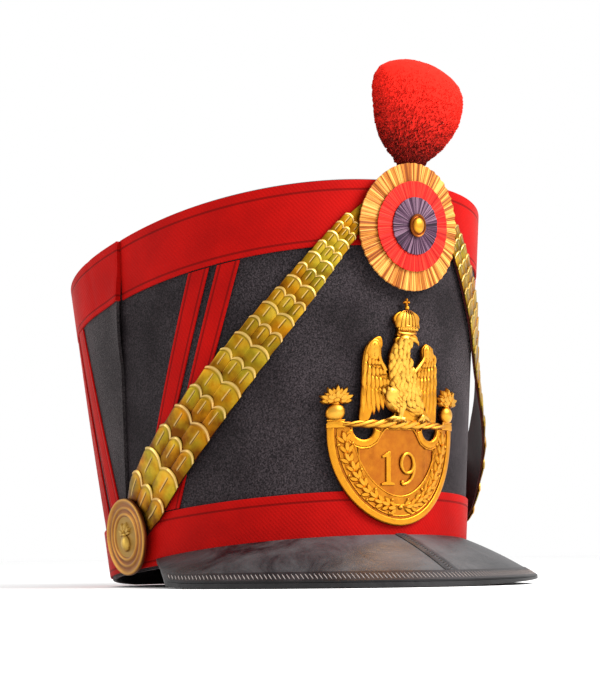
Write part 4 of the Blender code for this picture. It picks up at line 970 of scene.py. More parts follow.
# Fire-gilt brass, slightly matt, with painted light and shade: bright yellow on the raised parts, orange to
# brown in the hollows, and darker at the foot of each raised part.
gilt, tree, shader = finish("fire_gilt_brass", Metallic=0.9)
flat = add(tree, "SeparateXYZ", {0: add(tree, "Attribute", attribute_name="flat").outputs["Vector"]})
place = add(tree, "TexCoord").outputs["Object"]
cloud = add(tree, "TexNoise", {"Vector": place, "Scale": 210.0, "Detail": 4.0, "Roughness": 0.6})
height = add(tree, "Math", {0: cloud, 1: 0.9, 2: flat.outputs[2]}, operation="MULTIPLY_ADD")
base = add(tree, "MixRGB", {"Fac": add(tree, "MapRange", {"Value": height, "From": (1.5, 2.6)}),
                            "Color1": "#9A5212", "Color2": "#C07F18"})
base = add(tree, "MixRGB", {"Fac": add(tree, "MapRange", {"Value": height, "From": (2.6, 5.4)}),
                            "Color1": base, "Color2": "#D2A03E"})
# painted shade: each raised part darkens towards its foot
foot_shade = add(tree, "Attribute", attribute_name="foot_shade").outputs["Fac"]
foot_shade = add(tree, "MapRange", {"Value": foot_shade, "From": (0.05, 0.6), "To": (0.85, 0.0)},
          interpolation_type="SMOOTHSTEP")
base = add(tree, "MixRGB", {"Fac": foot_shade, "Color1": base, "Color2": "#6A2E06"})
link(tree, shader, Base_Color=base,
     Roughness=add(tree, "MapRange", {"Value": cloud, "From": (0.3, 0.7), "To": (0.28, 0.46)}),
     Normal=add(tree, "Bump", {"Strength": 0.2, "Distance": 0.0003, "Height": cloud}))


def keep_foot_shade(shape):
    """Keeps how high each vertex stands in its own raised part, for painted shade: bright on top, dark at the
    foot.
    """
    foot_shade = shape.verts.layers.float.new("foot_shade")
    seen = set()
    for first in shape.verts:
        if first in seen:
            continue
        seen.add(first)
        island = [first]
        for vert in island:
            nearby = [edge.other_vert(vert) for edge in vert.link_edges]
            fresh = [other for other in nearby if other not in seen]
            seen.update(fresh)
            island.extend(fresh)
        low = sum(vert.co.z for vert in island) / len(island)
        high = max(vert.co.z for vert in island)
        for vert in island:
            vert[foot_shade] = min(max((vert.co.z - low) / max(high - low, 1e-6), 0.0), 1.0)


def rounded(points, steps=4, closed=True):
    """A smooth line through points."""
    points = np.asarray(points, float)
    table = np.column_stack([np.arange(len(points)), points])
    if closed:
        rows = np.arange(-2, len(points) + 3)
        table = np.column_stack([rows, points[rows % len(points)]])
    at = np.arange(0, len(points) if closed else len(points) - 1 + 0.5 / steps, 1 / steps)
    return smooth(table, at)


def stamped(shape, outline, back, front, edge=0.5):
    """A flat shape raised from the plate, its upper edge rounded."""
    face = shape.faces.new([shape.verts.new((x, y, front)) for x, y in outline])
    face.normal_update()
    if face.normal.z < 0:
        face.normal_flip()
    made = bmesh.ops.extrude_face_region(shape, geom=[face], use_keep_orig=True)
    low = [item for item in made["geom"] if isinstance(item, bmesh.types.BMVert)]
    bmesh.ops.translate(shape, verts=low, vec=(0, 0, back - front))
    bmesh.ops.bevel(shape, geom=face.edges[:], offset=edge, affect="EDGES", segments=3, profile=0.5,
                    material=-1, clamp_overlap=True)


def wire(shape, points, radius, height, closed=False, radii=None, sides=2):
    """A raised line along points."""
    curve = bpy.data.curves.new("wire", "CURVE")
    curve.dimensions = "3D"
    curve.bevel_depth = radius
    curve.bevel_resolution = sides
    curve.use_fill_caps = True
    spline = curve.splines.new("POLY")
    spline.points.add(len(points) - 1)
    spline.use_cyclic_u = closed
    for k, (point, place) in enumerate(zip(spline.points, points)):
        point.co = (place[0], place[1], place[2] if len(place) > 2 else height, 1.0)
        point.radius = 1.0 if radii is None else radii[k]
    line = bpy.data.objects.new("wire", curve)
    mesh = bpy.data.meshes.new_from_object(line)
    shape.from_mesh(mesh)
    bpy.data.objects.remove(line)
    bpy.data.curves.remove(curve)
    bpy.data.meshes.remove(mesh)


def half_oval(inset):
    """Points along the shield's lower edge, a distance in from it."""
    half_width, depth = SHIELD_HALF_WIDTH - inset, SHIELD_DEPTH - inset
    return [(half_width * math.cos(angle), SHIELD_MIDDLE + depth * math.sin(angle))
            for angle in np.linspace(math.pi, 2 * math.pi, 49)]


def hole_arc(side, radius, start, end, count=20):
    """Points round the hole under a corner of the shield, between two shares of a half turn."""
    return [(side * HOLE_OFFSET + radius * math.cos(angle), HOLE_TOP + radius * math.sin(angle))
            for angle in np.linspace(start * math.pi, end * math.pi, count)]


def spread_shield(x, y, z):
    """The shield reaches a little further to the wearer's right than the bird above it."""
    to_right = np.clip(-x / SHIELD_HALF_WIDTH, 0, 1) ** 0.5
    below = np.clip((SPREAD_BELOW[1] - y) / (SPREAD_BELOW[1] - SPREAD_BELOW[0]), 0, 1)
    return x * (1 + SHIELD_SPREAD * to_right * below), y, z


shape = bmesh.new()
# shield: a plain rim, the leaf band, and a sunk field
notches = []
for side in (1, -1):
    arc = hole_arc(side, 5.6, 0.0, -1.0, 13)
    notches += [(arc[0][0], SHIELD_TOP), *arc, (arc[-1][0], SHIELD_TOP)]
base = half_oval(0.0) + [(SHIELD_HALF_WIDTH, SHIELD_TOP)] + notches + [(-SHIELD_HALF_WIDTH, SHIELD_TOP)]
stamped(shape, base, 0.0, 1.2, 0.3)
rim = (half_oval(0.0) + [(SHIELD_HALF_WIDTH, SHIELD_TOP), (SHIELD_HALF_WIDTH - SHIELD_RIM, SHIELD_TOP)]
       + half_oval(SHIELD_RIM)[::-1]
       + [(-SHIELD_HALF_WIDTH + SHIELD_RIM, SHIELD_TOP), (-SHIELD_HALF_WIDTH, SHIELD_TOP)])
stamped(shape, rim, 0.2, 2.1, 0.7)
inner = [((SHIELD_HALF_WIDTH - 12.4 + 2.2 * math.sin(angle)) * math.cos(angle),
          SHIELD_MIDDLE + (SHIELD_DEPTH - 14.6) * math.sin(angle))
         for angle in np.linspace(2 * math.pi, math.pi, 49)]
band = ([(4.6 - SHIELD_HALF_WIDTH, 61.2)] + half_oval(4.6)
        + [(SHIELD_HALF_WIDTH - 4.6, 61.2), (SHIELD_HALF_WIDTH - 10.4, 61.2)]
        + inner + [(10.4 - SHIELD_HALF_WIDTH, 61.2)])
stamped(shape, band, 0.2, 1.6, 0.3)
wire(shape, inner, 0.4, 1.5)
wire(shape, half_oval(4.9), 0.35, 1.6)
shoulder = [(-9.0, 59.6), (-11.2, 57.0), (-14.0, 52.6), (-18.0, 50.4), (-23.6, 49.8)]
field = [(23.7 * math.cos(angle), 50.0 + 28.4 * math.sin(angle))
         for angle in np.linspace(1.06 * math.pi, 1.94 * math.pi, 24)]
wire(shape, shoulder + field + [(-x, y) for x, y in shoulder[::-1]] + shoulder[:1], 0.45, 1.5)
for side in (-1, 1):
    stamped(shape, hole_arc(side, 6.0, -0.02, -0.98) + hole_arc(side, 9.4, -0.95, -0.05), 0.8, 2.0, 0.6)
    for radius, size in ((6.2, 0.45), (9.8, 0.4)):
        wire(shape, hole_arc(side, radius, 0.02, -1.02), size, 1.4)

# laurel: leaves in threes along a stem on each side, meeting at the foot
for side in (-1, 1):
    for k in range(11):
        angle = 1.5 * math.pi + side * (0.07 + 0.135 * k)
        inset = 9.2 if k < 8 else 8.6
        half_width, depth = SHIELD_HALF_WIDTH - inset, SHIELD_DEPTH - inset
        at = Vector((half_width * math.cos(angle), SHIELD_MIDDLE - 0.4 + depth * math.sin(angle)))
        along = math.atan2(depth * math.cos(angle) * side, -half_width * math.sin(angle) * side) - math.pi / 2
        for spread, length, width in ((0.62, 6.6, 2.9), (-0.62, 6.6, 2.9), (0.0, 7.4, 3.0)):
            leaf(shape, at, length, width, along + spread + 0.12 * (-1) ** k, 0.9 + 0.5 * (spread == 0), 1.5,
                 0.75)
        if k % 3 == 1:
            for aside in (-3.6, 3.4):
                berry = at + Vector((aside * math.cos(along), aside * math.sin(along)))
                ball(shape, berry, 0.85, 0.85, 0.9, 1.7)
ball(shape, (0.0, 20.6), 1.6, 1.3, 1.3, 1.7)

# the number, raised
one = ((-11.4, 31.6), (-3.6, 31.6), (-3.6, 32.7), (-6.0, 33.4), (-6.0, 48.4), (-7.4, 48.4), (-11.2, 46.2),
       (-10.7, 45.1), (-8.7, 45.7), (-8.7, 33.4), (-11.4, 32.7))
stamped(shape, one, 0.8, 2.2, 0.3)
bowl = [(4.9 + 4.2 * math.cos(angle), 42.6 + 4.9 * math.sin(angle))
        for angle in np.linspace(0, 2 * math.pi, 28, endpoint=False)]
swell = [1.0 + 0.3 * abs(math.cos(angle)) for angle in np.linspace(0, 2 * math.pi, 28)]
wire(shape, bowl, 0.85, 1.6, closed=True, sides=3, radii=swell)
tail = rounded(((9.2, 43.0), (9.3, 39.5), (8.0, 35.8), (5.2, 33.0), (2.0, 32.0), (1.0, 32.6)), 5,
               closed=False)
wire(shape, tail, 1.05, 1.6, sides=3, radii=np.linspace(1.1, 0.65, len(tail)))
ball(shape, (1.6, 33.2), 1.3, 1.2, 1.0, 1.3)

# eagle
stamped(shape, rounded(LEFT_WING), 0.0, 2.0, 0.6)
stamped(shape, rounded(RIGHT_WING), 0.0, 2.0, 0.6)
stamped(shape, rounded(BODY, 3), 0.0, 2.4, 0.6)
# long flight feathers hang from each wing's edge, with shorter rows over them
for side, inner, outer, shortest, growth, ridge in ((-1, -8.2, -22.0, 0.46, 0.54, LEFT_RIDGE),
                                                    (1, 9.6, 25.0, 0.55, 0.45, RIGHT_RIDGE)):
    for row, (high, length, count, base, first, run) in enumerate(FEATHER_ROWS):
        for k in range(count):
            t = k / (count - 1)
            foot = (inner + (outer - inner) * (first + run * t),
                    high - 3.0 * (1 - t) + (1.5 if t > 0.8 else 0.0))
            leaf(shape, foot, length * (shortest + growth * t), 3.3 - 0.25 * row,
                 math.pi - side * 0.34 * (1 - t), 0.75, base, 0.35)
    ridge = rounded(ridge, closed=False)
    wire(shape, ridge, 0.95, 2.1, radii=np.linspace(1.2, 0.5, len(ridge)))
for middle, half in (((-16.2, 98.6), (4.4, 5.6)), ((19.4, 97.4), (4.0, 5.2))):
    ball(shape, middle, *half, 1.5, 1.7)
    for k in range(9):
        column, row = k % 3 - 1, k // 3
        leaf(shape, (middle[0] + 1.9 * column, middle[1] + 3.8 - 2.3 * row), 2.6, 1.7, math.pi, 0.35,
             3.0 - 0.35 * abs(column), 0.3, 6)
# breast and neck, in small feathers that turn towards the tail
for middle, half in (((-0.8, 96.6), (5.8, 7.0, 2.3)), ((0.9, 88.0), (7.8, 9.5, 2.5)),
                     ((1.6, 78.5), (8.6, 8.5, 2.5)), ((9.6, 71.5), (6.4, 6.0, 1.6)),
                     ((3.4, 104.2), (5.0, 3.1, 2.5))):
    ball(shape, middle, *half, 1.9)
wire(shape, [(6.2, 104.6), (9.0, 104.4), (11.0, 103.2), (11.6, 101.8)], 1.2, 2.6, radii=(1.2, 1.0, 0.7, 0.35))
ball(shape, (4.6, 105.0), 0.7, 0.6, 0.7, 4.4)
for row in range(14):
    y = 102.8 - 2.35 * row
    left, right = (float(np.interp(y, SIDES_OF_BODY[:, 0], SIDES_OF_BODY[:, k])) for k in (1, 2))
    count = max(3, round((right - left) / 2.7))
    for k in range(count):
        x = left + (right - left) * (k + 0.5 + 0.25 * (-1) ** row) / count
        aside = (2 * x - left - right) / (right - left + 1.5)
        lean = 0.1 * aside if row < 7 else 0.12 + 0.5 * (row - 6) / 7 * (0.6 + 0.5 * aside)
        turn = math.pi + random.uniform(-0.22, 0.22) + lean
        size = random.uniform(0.85, 1.2)
        leaf(shape, (x - 0.4, y + 2.2), 5.2 * size, 3.3 * size, turn, 0.75,
             1.9 + 2.3 * math.sqrt(max(0.0, 1 - aside ** 2)) + random.uniform(-0.12, 0.12), 0.5, 8)
# tail feathers spread behind the leg, in two layers
for layer, (reach, base) in enumerate(((15.0, 2.3), (9.0, 2.9))):
    for k in range(8):
        t = k / 7
        leaf(shape, (2.2 + 6.4 * t, 71.2 + 7.0 * t), reach * (0.84 + 0.3 * math.sin(math.pi * t)), 2.9,
             math.pi + 1.12 - 0.62 * t, 0.9, base + 0.06 * k, 0.3, 8)
# the near leg: a full thigh, its shank, and claws that grip the bar
leaf(shape, (-8.4, 79.4), 14.4, 9.6, math.pi + 0.52, 2.6, 2.2, 0.6, 20)
ball(shape, (-6.2, 76.0), 4.2, 4.4, 1.6, 4.0)
for row in range(6):
    for k in range(4):
        aside = (k - 1.5 + 0.5 * (row % 2)) / 2
        foot = (-8.4 + 4.8 * aside * (1 - 0.1 * row) + 1.15 * row, 80.8 - 2.0 * row + 1.2 * aside)
        leaf(shape, foot, 3.8, 2.1, math.pi + 0.6 + 0.25 * aside, 0.6,
             5.0 - 1.5 * aside ** 2 - 0.14 * abs(row - 2), 0.5, 8)
wire(shape, [(-1.2, 69.5, 4.2), (-1.6, 66.5, 4.0), (-2.6, 64.2, 4.6)], 1.5, 0.0, radii=(1.3, 1.0, 0.9))
for reach, turn in ((7.6, -1.45), (5.4, -0.85), (4.4, -0.1), (6.0, 0.9)):
    end = (-2.6 + reach * math.sin(turn), 64.4 - reach * 0.42 * math.cos(turn))
    knuckle = ((end[0] - 2.6) / 2, (end[1] + 64.6) / 2 + 0.5, 5.0)
    wire(shape, [(-2.6, 64.4, 4.6), knuckle, (*end, 4.0)], 1.0, 0.0, radii=(1.1, 1.0, 0.45))
for reach, turn in ((4.6, -0.9), (3.8, 0.0), (5.4, 1.1)):
    end = (13.6 + reach * math.sin(turn), 64.6 - reach * 0.42 * math.cos(turn))
    knuckle = ((end[0] + 13.6) / 2, (end[1] + 65.0) / 2 + 0.6, 4.4)
    wire(shape, [(13.2, 66.2, 4.0), knuckle, (*end, 3.6)], 0.95, 0.0, radii=(1.1, 1.0, 0.45))

# the bar: a rope of three twisted strands, thick at its middle
for strand in range(3):
    line, radii = [], []
    for k in range(150):
        x = -31.5 + 64.0 * k / 149
        thick = 1 - 0.55 * (abs(x - 0.5) / 32) ** 2
        turn = x / 3.4 + strand * 2 * math.pi / 3
        line.append((x, 62.0 + 1.35 * thick * math.sin(turn), 2.0 + 1.0 * thick * math.cos(turn)))
        radii.append(thick)
    wire(shape, line, 1.25, 0.0, radii=radii)

# crown: a jewelled circlet, a swelling cap with arches, an orb and a cross
stamped(shape, rounded(CROWN, 3), 0.0, 2.2, 0.5)
ball(shape, (4.4, 113.4), 8.0, 5.9, 2.4, 1.7)
for bend in np.linspace(-0.94, 0.94, 7):
    bulge = math.sqrt(max(0.0, 1 - bend * bend))
    arch = [(4.4 + 7.8 * bend * math.cos(t) ** 0.8, 109.4 + 9.6 * math.sin(t),
             2.0 + 2.4 * bulge * math.cos(t * 0.9) ** 0.6) for t in np.linspace(0.1, 1.5, 12)]
    wire(shape, arch, 0.34, 0.0)
for k in range(11):
    bulge = math.sqrt(max(0.0, 1 - ((k - 5) / 6.5) ** 2))
    ball(shape, (-1.6 + 1.2 * k, 109.9 - 0.5 * bulge), 0.66, 0.8, 0.8, 1.6 + 1.9 * bulge)
wire(shape, [(-1.4, 107.6, 2.2), (4.3, 107.0, 3.6), (10.1, 107.8, 2.2)], 0.75, 0.0)
wire(shape, [(-2.6, 111.6, 2.0), (4.4, 110.9, 4.3), (11.6, 111.6, 2.0)], 0.4, 0.0)
ball(shape, (4.6, 120.4), 1.3, 1.3, 1.3, 1.5)
for turn in (0.0, math.pi / 2, -math.pi / 2, math.pi):
    leaf(shape, (4.6, 123.4), 2.3, 1.5, turn, 1.0, 0.9, -0.4, 8)
stamped(shape, ((4.1, 119.0), (5.1, 119.0), (5.1, 124.0), (4.1, 124.0)), 0.2, 1.6, 0.2)

# corners: a capital, a ball and its flames
for side in (-1, 1):
    capital = ((30.3, 60.3), (39.3, 60.3), (39.3, 62.4), (38.6, 63.6), (31.0, 63.6), (30.3, 62.4))
    stamped(shape, [(side * x, y) for x, y in capital], 0.1, 2.5, 0.4)
    ball(shape, (side * 35.0, 68.0), 4.8, 4.7, 3.5, 0.7)
    ball(shape, (side * 35.0, 72.4), 2.1, 0.9, 1.9, 0.9)
    flames(shape, (side * 35.0, 73.0), 8.6, 1.1, 2.3, 11)
    flames(shape, (side * 35.0, 73.2), 5.6, 2.4, 1.6, 7)
    ball(shape, (side * 35.0, 74.6), 2.6, 2.2, 2.0, 1.6)
    wire(shape, [(side * 30.6, 64.0), (side * 39.0, 64.0)], 0.5, 2.0)

# long faces are cut every few millimetres, so that the plate bends with the crown
bmesh.ops.triangulate(shape, faces=[face for face in shape.faces if len(face.verts) > 4])
for x in np.arange(-36, 37, 3.0):
    long = [edge for edge in shape.edges if abs(edge.verts[0].co.x - edge.verts[1].co.x) > 3.0]
    faces = {face for edge in long for face in edge.link_faces}
    verts = {vert for face in faces for vert in face.verts}
    edges = {edge for face in faces for edge in face.edges}
    bmesh.ops.bisect_plane(shape, geom=[*verts, *edges, *faces], dist=1e-4, plane_co=(x, 0, 0),
                           plane_no=(1, 0, 0))
bmesh.ops.triangulate(shape, faces=[face for face in shape.faces if len(face.verts) > 4])
keep_place(shape)
keep_foot_shade(shape)
bmesh.ops.recalc_face_normals(shape, faces=shape.faces)
reshape(shape, spread_shield)
reshape(shape, lambda x, y, z: wall(PLATE_AROUND + PLATE_LEAN * (y - PLATE_FOOT) - PLATE_WIDTH_SCALE * x,
                                    PLATE_FOOT + PLATE_HEIGHT_SCALE * (y - PLATE_FOOT), PLATE_LIFT + z).T)
piece("gilt_front_plate", shape, gilt, "gilt_brass", "front_plate", sharp=40.0)

# ---------------------------------------------------------------- cockade
# A rosette of silk ribbon: a pleated yellow fringe, a ribbed red ring and a gathered violet middle,
# sewn one on the other and held by a domed gilt button.
COCKADE_HEIGHT = 163.2
COCKADE_RADIUS = 32.6
COCKADE_LIFT = 5.1
COCKADE_WIDTH_SCALE = 0.94
PLEAT = 0.42


def silk(name, low, middle, high, streaks, contrast=1.0):
    """Ribbon silk gathered towards the button: soft sheen, with streaks that run along the folds, the dark
    ones painted shade and the light ones painted sheen.
    """
    made, tree, shader = finish(name, Roughness=0.55, Sheen_Weight=0.1, Sheen_Roughness=0.3,
                                Specular_IOR_Level=0.12)
    polar = add(tree, "SeparateXYZ", {0: add(tree, "Attribute", attribute_name="polar").outputs["Vector"]})
    lines = []
    for scale, stretch in ((streaks, 0.03), (streaks * 0.37, 0.012)):
        spot = {k: add(tree, "Math", {0: polar.outputs[k], 1: factor}, operation="MULTIPLY")
                for k, factor in enumerate((scale, scale, stretch))}
        spot = add(tree, "CombineXYZ", spot)
        lines.append(add(tree, "TexNoise", {"Vector": spot, "Scale": 1.0, "Detail": 2.0}))
    tone = add(tree, "Math", {0: lines[0], 1: lines[1]}, operation="ADD")
    dark = add(tree, "MapRange", {"Value": tone, "From": (1.0 - 0.22 / contrast, 1.0)})
    light = add(tree, "MapRange", {"Value": tone, "From": (1.0, 1.0 + 0.22 / contrast)})
    base = add(tree, "MixRGB", {"Fac": dark, "Color1": low, "Color2": middle})
    link(tree, shader, Base_Color=add(tree, "MixRGB", {"Fac": light, "Color1": base, "Color2": high}),
         Normal=add(tree, "Bump", {"Strength": 0.5, "Distance": 0.0004, "Height": lines[0]}))
    return made


def rosette(name, radii, back, front, rule, cloth, slot, node, steps, ragged=0.0):
    """A disc of gathered ribbon laid on the crown; the rule adds its folds by angle and share of radius."""
    shape = bmesh.new()
    edge = max(radii)
    rows = [radii[0] + (edge - radii[0]) * k / 10 for k in range(11)]
    profile = [(0.0, front), *((r, front) for r in rows), (edge + 0.12, (front + back) / 2), (edge, back),
               (rows[0], back), (0.0, back)]
    turned(shape, profile, steps)
    polar = shape.verts.layers.float_vector.new("polar")
    places = np.array([vert.co for vert in shape.verts])
    radius = np.hypot(places[:, 0], places[:, 1])
    angle = np.arctan2(places[:, 1], places[:, 0])
    fold = rule(angle, radius / edge) * np.clip(radius / edge * 3, 0, 1)
    notch = 1 + ragged * rule(angle + 0.4, np.ones_like(radius)) * (radius > 0.95 * edge)
    for vert, r, a in zip(shape.verts, radius, angle):
        vert[polar] = (math.cos(a) * 10, math.sin(a) * 10, r)
    places[:, :2] *= notch[:, None]
    places[:, 2] += fold
    for vert, place in zip(shape.verts, places):
        vert.co = place
    reshape(shape, lambda x, y, z: wall(-COCKADE_WIDTH_SCALE * x, COCKADE_HEIGHT + y, z).T)
    piece(name, shape, cloth, slot, node, sharp=60.0)


# Each layer's folds: narrow knife pleats in the fringe, shallow ribs in the ring, soft gathers within.
yellow_silk = silk("yellow_ribbon_silk", "#7A3A10", "#B46C22", "#D6A050", 7.0, 1.4)
red_silk = silk("red_ribbon_silk", "#8A0804", "#C0120A", "#DE3420", 5.0, 1.1)
violet_silk = silk("violet_ribbon_silk", "#1E0E1C", "#3E2138", "#785C6C", 4.2, 1.5)
fringe_front = COCKADE_LIFT + 1.3
rosette("cockade_pleated_fringe", (16.0, COCKADE_RADIUS), COCKADE_LIFT, fringe_front - 0.05,
        lambda a, r: PLEAT * (np.abs(((a * 44 / math.pi) % 2) - 1) * 2 - 1) * r,
        yellow_silk, "yellow_silk", "cockade_fringe", 352, 0.005)
red_back = fringe_front + 0.35 + GAP
rosette("cockade_red_ring", (10.0, 23.0), red_back, red_back + 0.8, lambda a, r: 0.12 * np.cos(36 * a) * r,
        red_silk, "red_silk", "cockade_red", 216)
violet_back = red_back + 0.8 + GAP
rosette("cockade_violet_middle", (4.0, 14.6), violet_back, violet_back + 0.7,
        lambda a, r: 0.2 * np.cos(22 * a + np.cos(5 * a)) * r,
        violet_silk, "violet_silk", "cockade_violet", 176)
shape = bmesh.new()
turned(shape, ((0.0, 3.05), (1.6, 2.95), (2.9, 2.6), (3.7, 2.0), (4.1, 1.2), (4.4, 1.05), (4.8, 1.5),
               (5.2, 1.6), (5.6, 1.2), (5.65, 0.5), (5.5, 0.0), (0.0, 0.0)), 64)
keep_place(shape)
keep_foot_shade(shape)
bmesh.ops.scale(shape, verts=shape.verts, vec=(0.92, 1.08, 1.0))
bmesh.ops.transform(shape, verts=shape.verts, matrix=wall_frame(0.0, COCKADE_HEIGHT, violet_back + 0.7 + GAP))
piece("cockade_gilt_button", shape, gilt, "gilt_brass", "cockade_button")

# ---------------------------------------------------------------- pompom
# A tuft of clipped red wool, flatter than it is wide, bound at its foot. Its yarn ends stand up in a dense
# nap;
# low down, painted shade darkens the wool to almost black in flecks between them.
POMPOM_AROUND = -1.5
POMPOM_FOOT = 188.7
POMPOM_LIFT = 0.5
POMPOM_SET_FORWARD = 4.0
POMPOM_DEPTH = 0.40
POMPOM_LEAN = 0.13
POMPOM_PROFILE = np.array((  # height, and how far the tuft reaches to each side
    (0.0, 8.0), (8.2, 9.0), (11.5, 10.4), (14.5, 14.6), (20.6, 20.9), (27.8, 25.4), (36.2, 28.5),
    (44.3, 30.0), (50.0, 29.4), (54.5, 26.8), (58.0, 21.5), (61.0, 13.5), (62.4, 6.0), (62.8, 0.0)))
YARN_ENDS = 9000

# Wool yarn: matt and fuzzy, clear red above; painted shade darkens it towards the foot and stipples it with
# near-black.
wool, tree, shader = finish("clipped_red_wool", Roughness=0.95, Sheen_Weight=0.25, Sheen_Roughness=0.5,
                            Sheen_Tint=colour("#FF6A54"), Specular_IOR_Level=0.05)
tuft = add(tree, "SeparateXYZ", {0: add(tree, "Attribute", attribute_name="tuft").outputs["Vector"]})
place = add(tree, "TexCoord").outputs["Object"]
stipple = add(tree, "TexNoise", {"Vector": place, "Scale": 420.0, "Detail": 3.0, "Roughness": 0.75})
cloud = add(tree, "TexNoise", {"Vector": place, "Scale": 75.0, "Detail": 2.0})
# painted shade: darker towards the foot, with near-black flecks low down
low = add(tree, "MapRange", {"Value": tuft.outputs[2], "From": (6.0, 42.0), "To": (1.0, 0.0)})
fleck_shade = add(tree, "Attribute", attribute_name="fleck_shade").outputs["Fac"]
flecks = add(tree, "Math", {0: cloud, 1: 0.5, 2: fleck_shade}, operation="MULTIPLY_ADD")
shade = add(tree, "Math", {0: low, 1: 1.0, 2: flecks}, operation="MULTIPLY_ADD")
base = add(tree, "MixRGB", {"Fac": stipple, "Color1": "#B8150E", "Color2": "#E0281C"})
base = add(tree, "MixRGB", {"Fac": low, "Color1": base, "Color2": "#7A1410"})
base = add(tree, "MixRGB", {"Fac": add(tree, "MapRange", {"Value": shade, "From": (1.25, 1.55),
                                                          "To": (0.0, 0.8)}),
                            "Color1": base, "Color2": "#2A0606"})
link(tree, shader, Base_Color=base,
     Normal=add(tree, "Bump", {"Strength": 0.6, "Distance": 0.0008, "Height": stipple}))

base_point = Vector(wall(POMPOM_AROUND, POMPOM_FOOT, POMPOM_LIFT))
rise = (Vector(wall(0, POMPOM_FOOT, 0)) - Vector(wall(0, 0, 0))).normalized()
out = Vector((0, -rise.z, rise.y))
to_crown = Matrix.Translation(base_point) @ Matrix((Vector((1, 0, 0)), out, rise)).transposed().to_4x4()


def tuft_rule(x, y, z):
    """Flattens a turned tuft and brings it forward over the cockade."""
    up = np.clip((z - 8.0) / 25.0, 0.0, 1.0)
    return x + 0.1 * up * (z - 33.0), POMPOM_DEPTH * y + POMPOM_SET_FORWARD * up, z - POMPOM_LEAN * up * x


shape = bmesh.new()
heights = np.linspace(0.0, 62.8, 48)
body = np.interp(heights, POMPOM_PROFILE[:, 0], POMPOM_PROFILE[:, 1])
core = [(r * 0.955, h * 0.985) for h, r in zip(heights[:-1], body[:-1])]
turned(shape, [(0.0, 0.0), *core, (0.0, 61.6)], 72)
# The yarn ends: small tapered tufts over the whole surface, leaning up and out.
heights = random.uniform(9.0, 62.6, 3 * YARN_ENDS)
radii = np.interp(heights, POMPOM_PROFILE[:, 0], POMPOM_PROFILE[:, 1])
heights = heights[random.uniform(0, 30.0, heights.size) < radii + 6.0][:YARN_ENDS]
turns = random.uniform(0, 2 * math.pi, heights.size)
batch = bmesh.new()
fleck_shades = random.uniform(0.0, 1.0, heights.size)
fleck_shade = shape.verts.layers.float.new("fleck_shade")
for vert in shape.verts:
    vert[fleck_shade] = 0.35
for k, (height, turn) in enumerate(zip(heights, turns)):
    radius = float(np.interp(height, POMPOM_PROFILE[:, 0], POMPOM_PROFILE[:, 1]))
    slope = float(np.interp(height + 1, POMPOM_PROFILE[:, 0], POMPOM_PROFILE[:, 1])) - radius
    normal = Vector((math.cos(turn), math.sin(turn) * 1.6, -slope)).normalized()
    lean = (normal + Vector(random.uniform(-0.35, 0.35, 3)) + Vector((0, 0, 0.35))).normalized()
    size = random.uniform(0.8, 1.2)
    spot = Vector((radius * 0.93 * math.cos(turn), radius * 0.93 * math.sin(turn), height * 0.96))
    matrix = (Matrix.Translation(spot) @ lean.to_track_quat("Z", "Y").to_matrix().to_4x4()
              @ Matrix.Diagonal((0.62 * size, 0.9 * size, 1.35 * size, 1.0)))
    fleck_shade = batch.verts.layers.float.get("fleck_shade") or batch.verts.layers.float.new("fleck_shade")
    made = bmesh.ops.create_cone(batch, cap_ends=False, segments=5, radius1=1.0, radius2=0.35, depth=2.0,
                                 matrix=matrix)
    for vert in made["verts"]:
        vert[fleck_shade] = fleck_shades[k]
    if k % 120 == 119 or k == len(turns) - 1:
        merge(shape, batch)
        batch = bmesh.new()
batch.free()
keep_place(shape, "tuft")
reshape(shape, tuft_rule)
bmesh.ops.transform(shape, verts=shape.verts, matrix=to_crown)
piece("wool_pompom", shape, wool, "red_wool", "pompom", sharp=180.0)

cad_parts["pompom_stem"].data.materials.clear()
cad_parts["pompom_stem"].data.materials.append(leather)

# ---------------------------------------------------------------- floor, light and camera
# A white seamless sweep under soft studio light: a broad softbox high in front, a weaker one behind
# the wearer's right, and white all round that gives the grazing edges their glare.
paper, tree, shader = finish("white_paper_sweep", Roughness=0.9, Specular_IOR_Level=0.1)
place = add(tree, "TexCoord").outputs["Object"]
fine = add(tree, "TexNoise", {"Vector": place, "Scale": 3.0})
link(tree, shader, Base_Color=add(tree, "MixRGB", {"Fac": fine, "Color1": "#FAFAFA", "Color2": "#FFFFFF"}))
shape = bmesh.new()
bmesh.ops.create_circle(shape, cap_ends=True, segments=96, radius=6.0)
mesh = bpy.data.meshes.new("floor")
shape.to_mesh(mesh)
shape.free()
mesh.materials.append(paper)
floor = bpy.data.objects.new("floor", mesh)
floor.location.z = -0.0004
bpy.context.scene.collection.objects.link(floor)

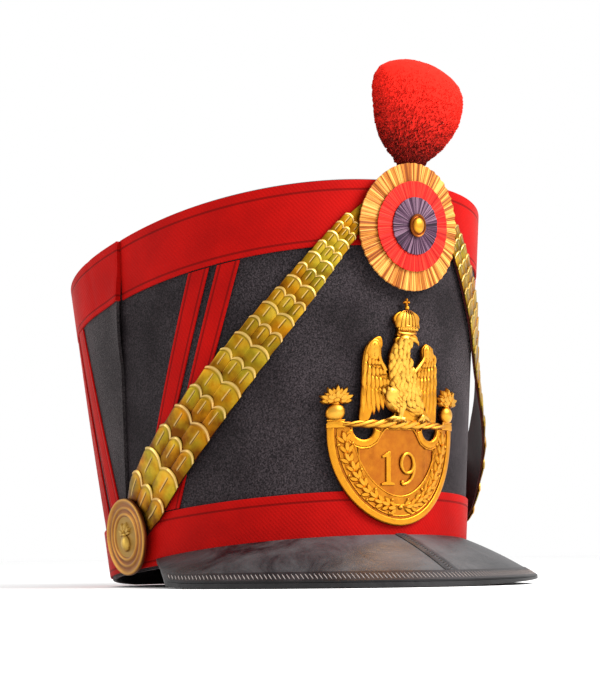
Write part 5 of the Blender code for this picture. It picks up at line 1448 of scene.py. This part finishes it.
world = bpy.data.worlds.new("studio")
bpy.context.scene.world = world
world.use_nodes = True
world.node_tree.nodes["Background"].inputs["Color"].default_value = (1.0, 1.0, 1.0, 1.0)
world.node_tree.nodes["Background"].inputs["Strength"].default_value = 1.0
bpy.context.scene.view_settings.view_transform = "Standard"


def softbox(name, place, aim, size, power):
    """A square area light aimed at a point."""
    light = bpy.data.lights.new(name, "AREA")
    light.size = size
    light.energy = power
    made = bpy.data.objects.new(name, light)
    made.location = place
    made.rotation_euler = (Vector(aim) - Vector(place)).to_track_quat("-Z", "Y").to_euler()
    bpy.context.scene.collection.objects.link(made)


softbox("key_softbox", (0.45, -0.9, 0.8), (0, -0.05, 0.15), 0.6, 24.0)
softbox("side_softbox", (-1.3, 0.8, 0.5), (0, 0, 0.1), 0.8, 6.0)

PHOTO_HEIGHT = 682  # pixels
FOCAL_LENGTH = 2171.47  # pixels of the photo
SENSOR = 36.0
CAMERA_TURN = math.radians(-36.3)
CAMERA_DISTANCE = 1200.0
CAMERA_HEIGHT = 16.978
CAMERA_PITCH = math.radians(5.576)
CAMERA_YAW = CAMERA_TURN + math.radians(-0.328)
CAMERA_ROLL = math.radians(-0.599)
lens = bpy.data.cameras.new("camera")
lens.lens = FOCAL_LENGTH / PHOTO_HEIGHT * SENSOR
lens.sensor_width = SENSOR
lens.clip_end = 30.0
camera = bpy.data.objects.new("camera", lens)
forward = Vector((-math.sin(CAMERA_YAW) * math.cos(CAMERA_PITCH),
                  math.cos(CAMERA_YAW) * math.cos(CAMERA_PITCH), math.sin(CAMERA_PITCH)))
right = Vector((math.cos(CAMERA_YAW), math.sin(CAMERA_YAW), 0))
up = right.cross(forward)
rolled_right = math.cos(CAMERA_ROLL) * right + math.sin(CAMERA_ROLL) * up
rolled_up = math.cos(CAMERA_ROLL) * up - math.sin(CAMERA_ROLL) * right
spot = Vector((CAMERA_DISTANCE * math.sin(CAMERA_TURN) + SIDE_SHIFT,
               -CAMERA_DISTANCE * math.cos(CAMERA_TURN) + DEPTH_SHIFT, CAMERA_HEIGHT))
camera.matrix_world = (Matrix.Translation(spot * MM)
                       @ Matrix((rolled_right, rolled_up, -forward)).transposed().to_4x4())
bpy.context.scene.collection.objects.link(camera)
bpy.context.scene.camera = camera
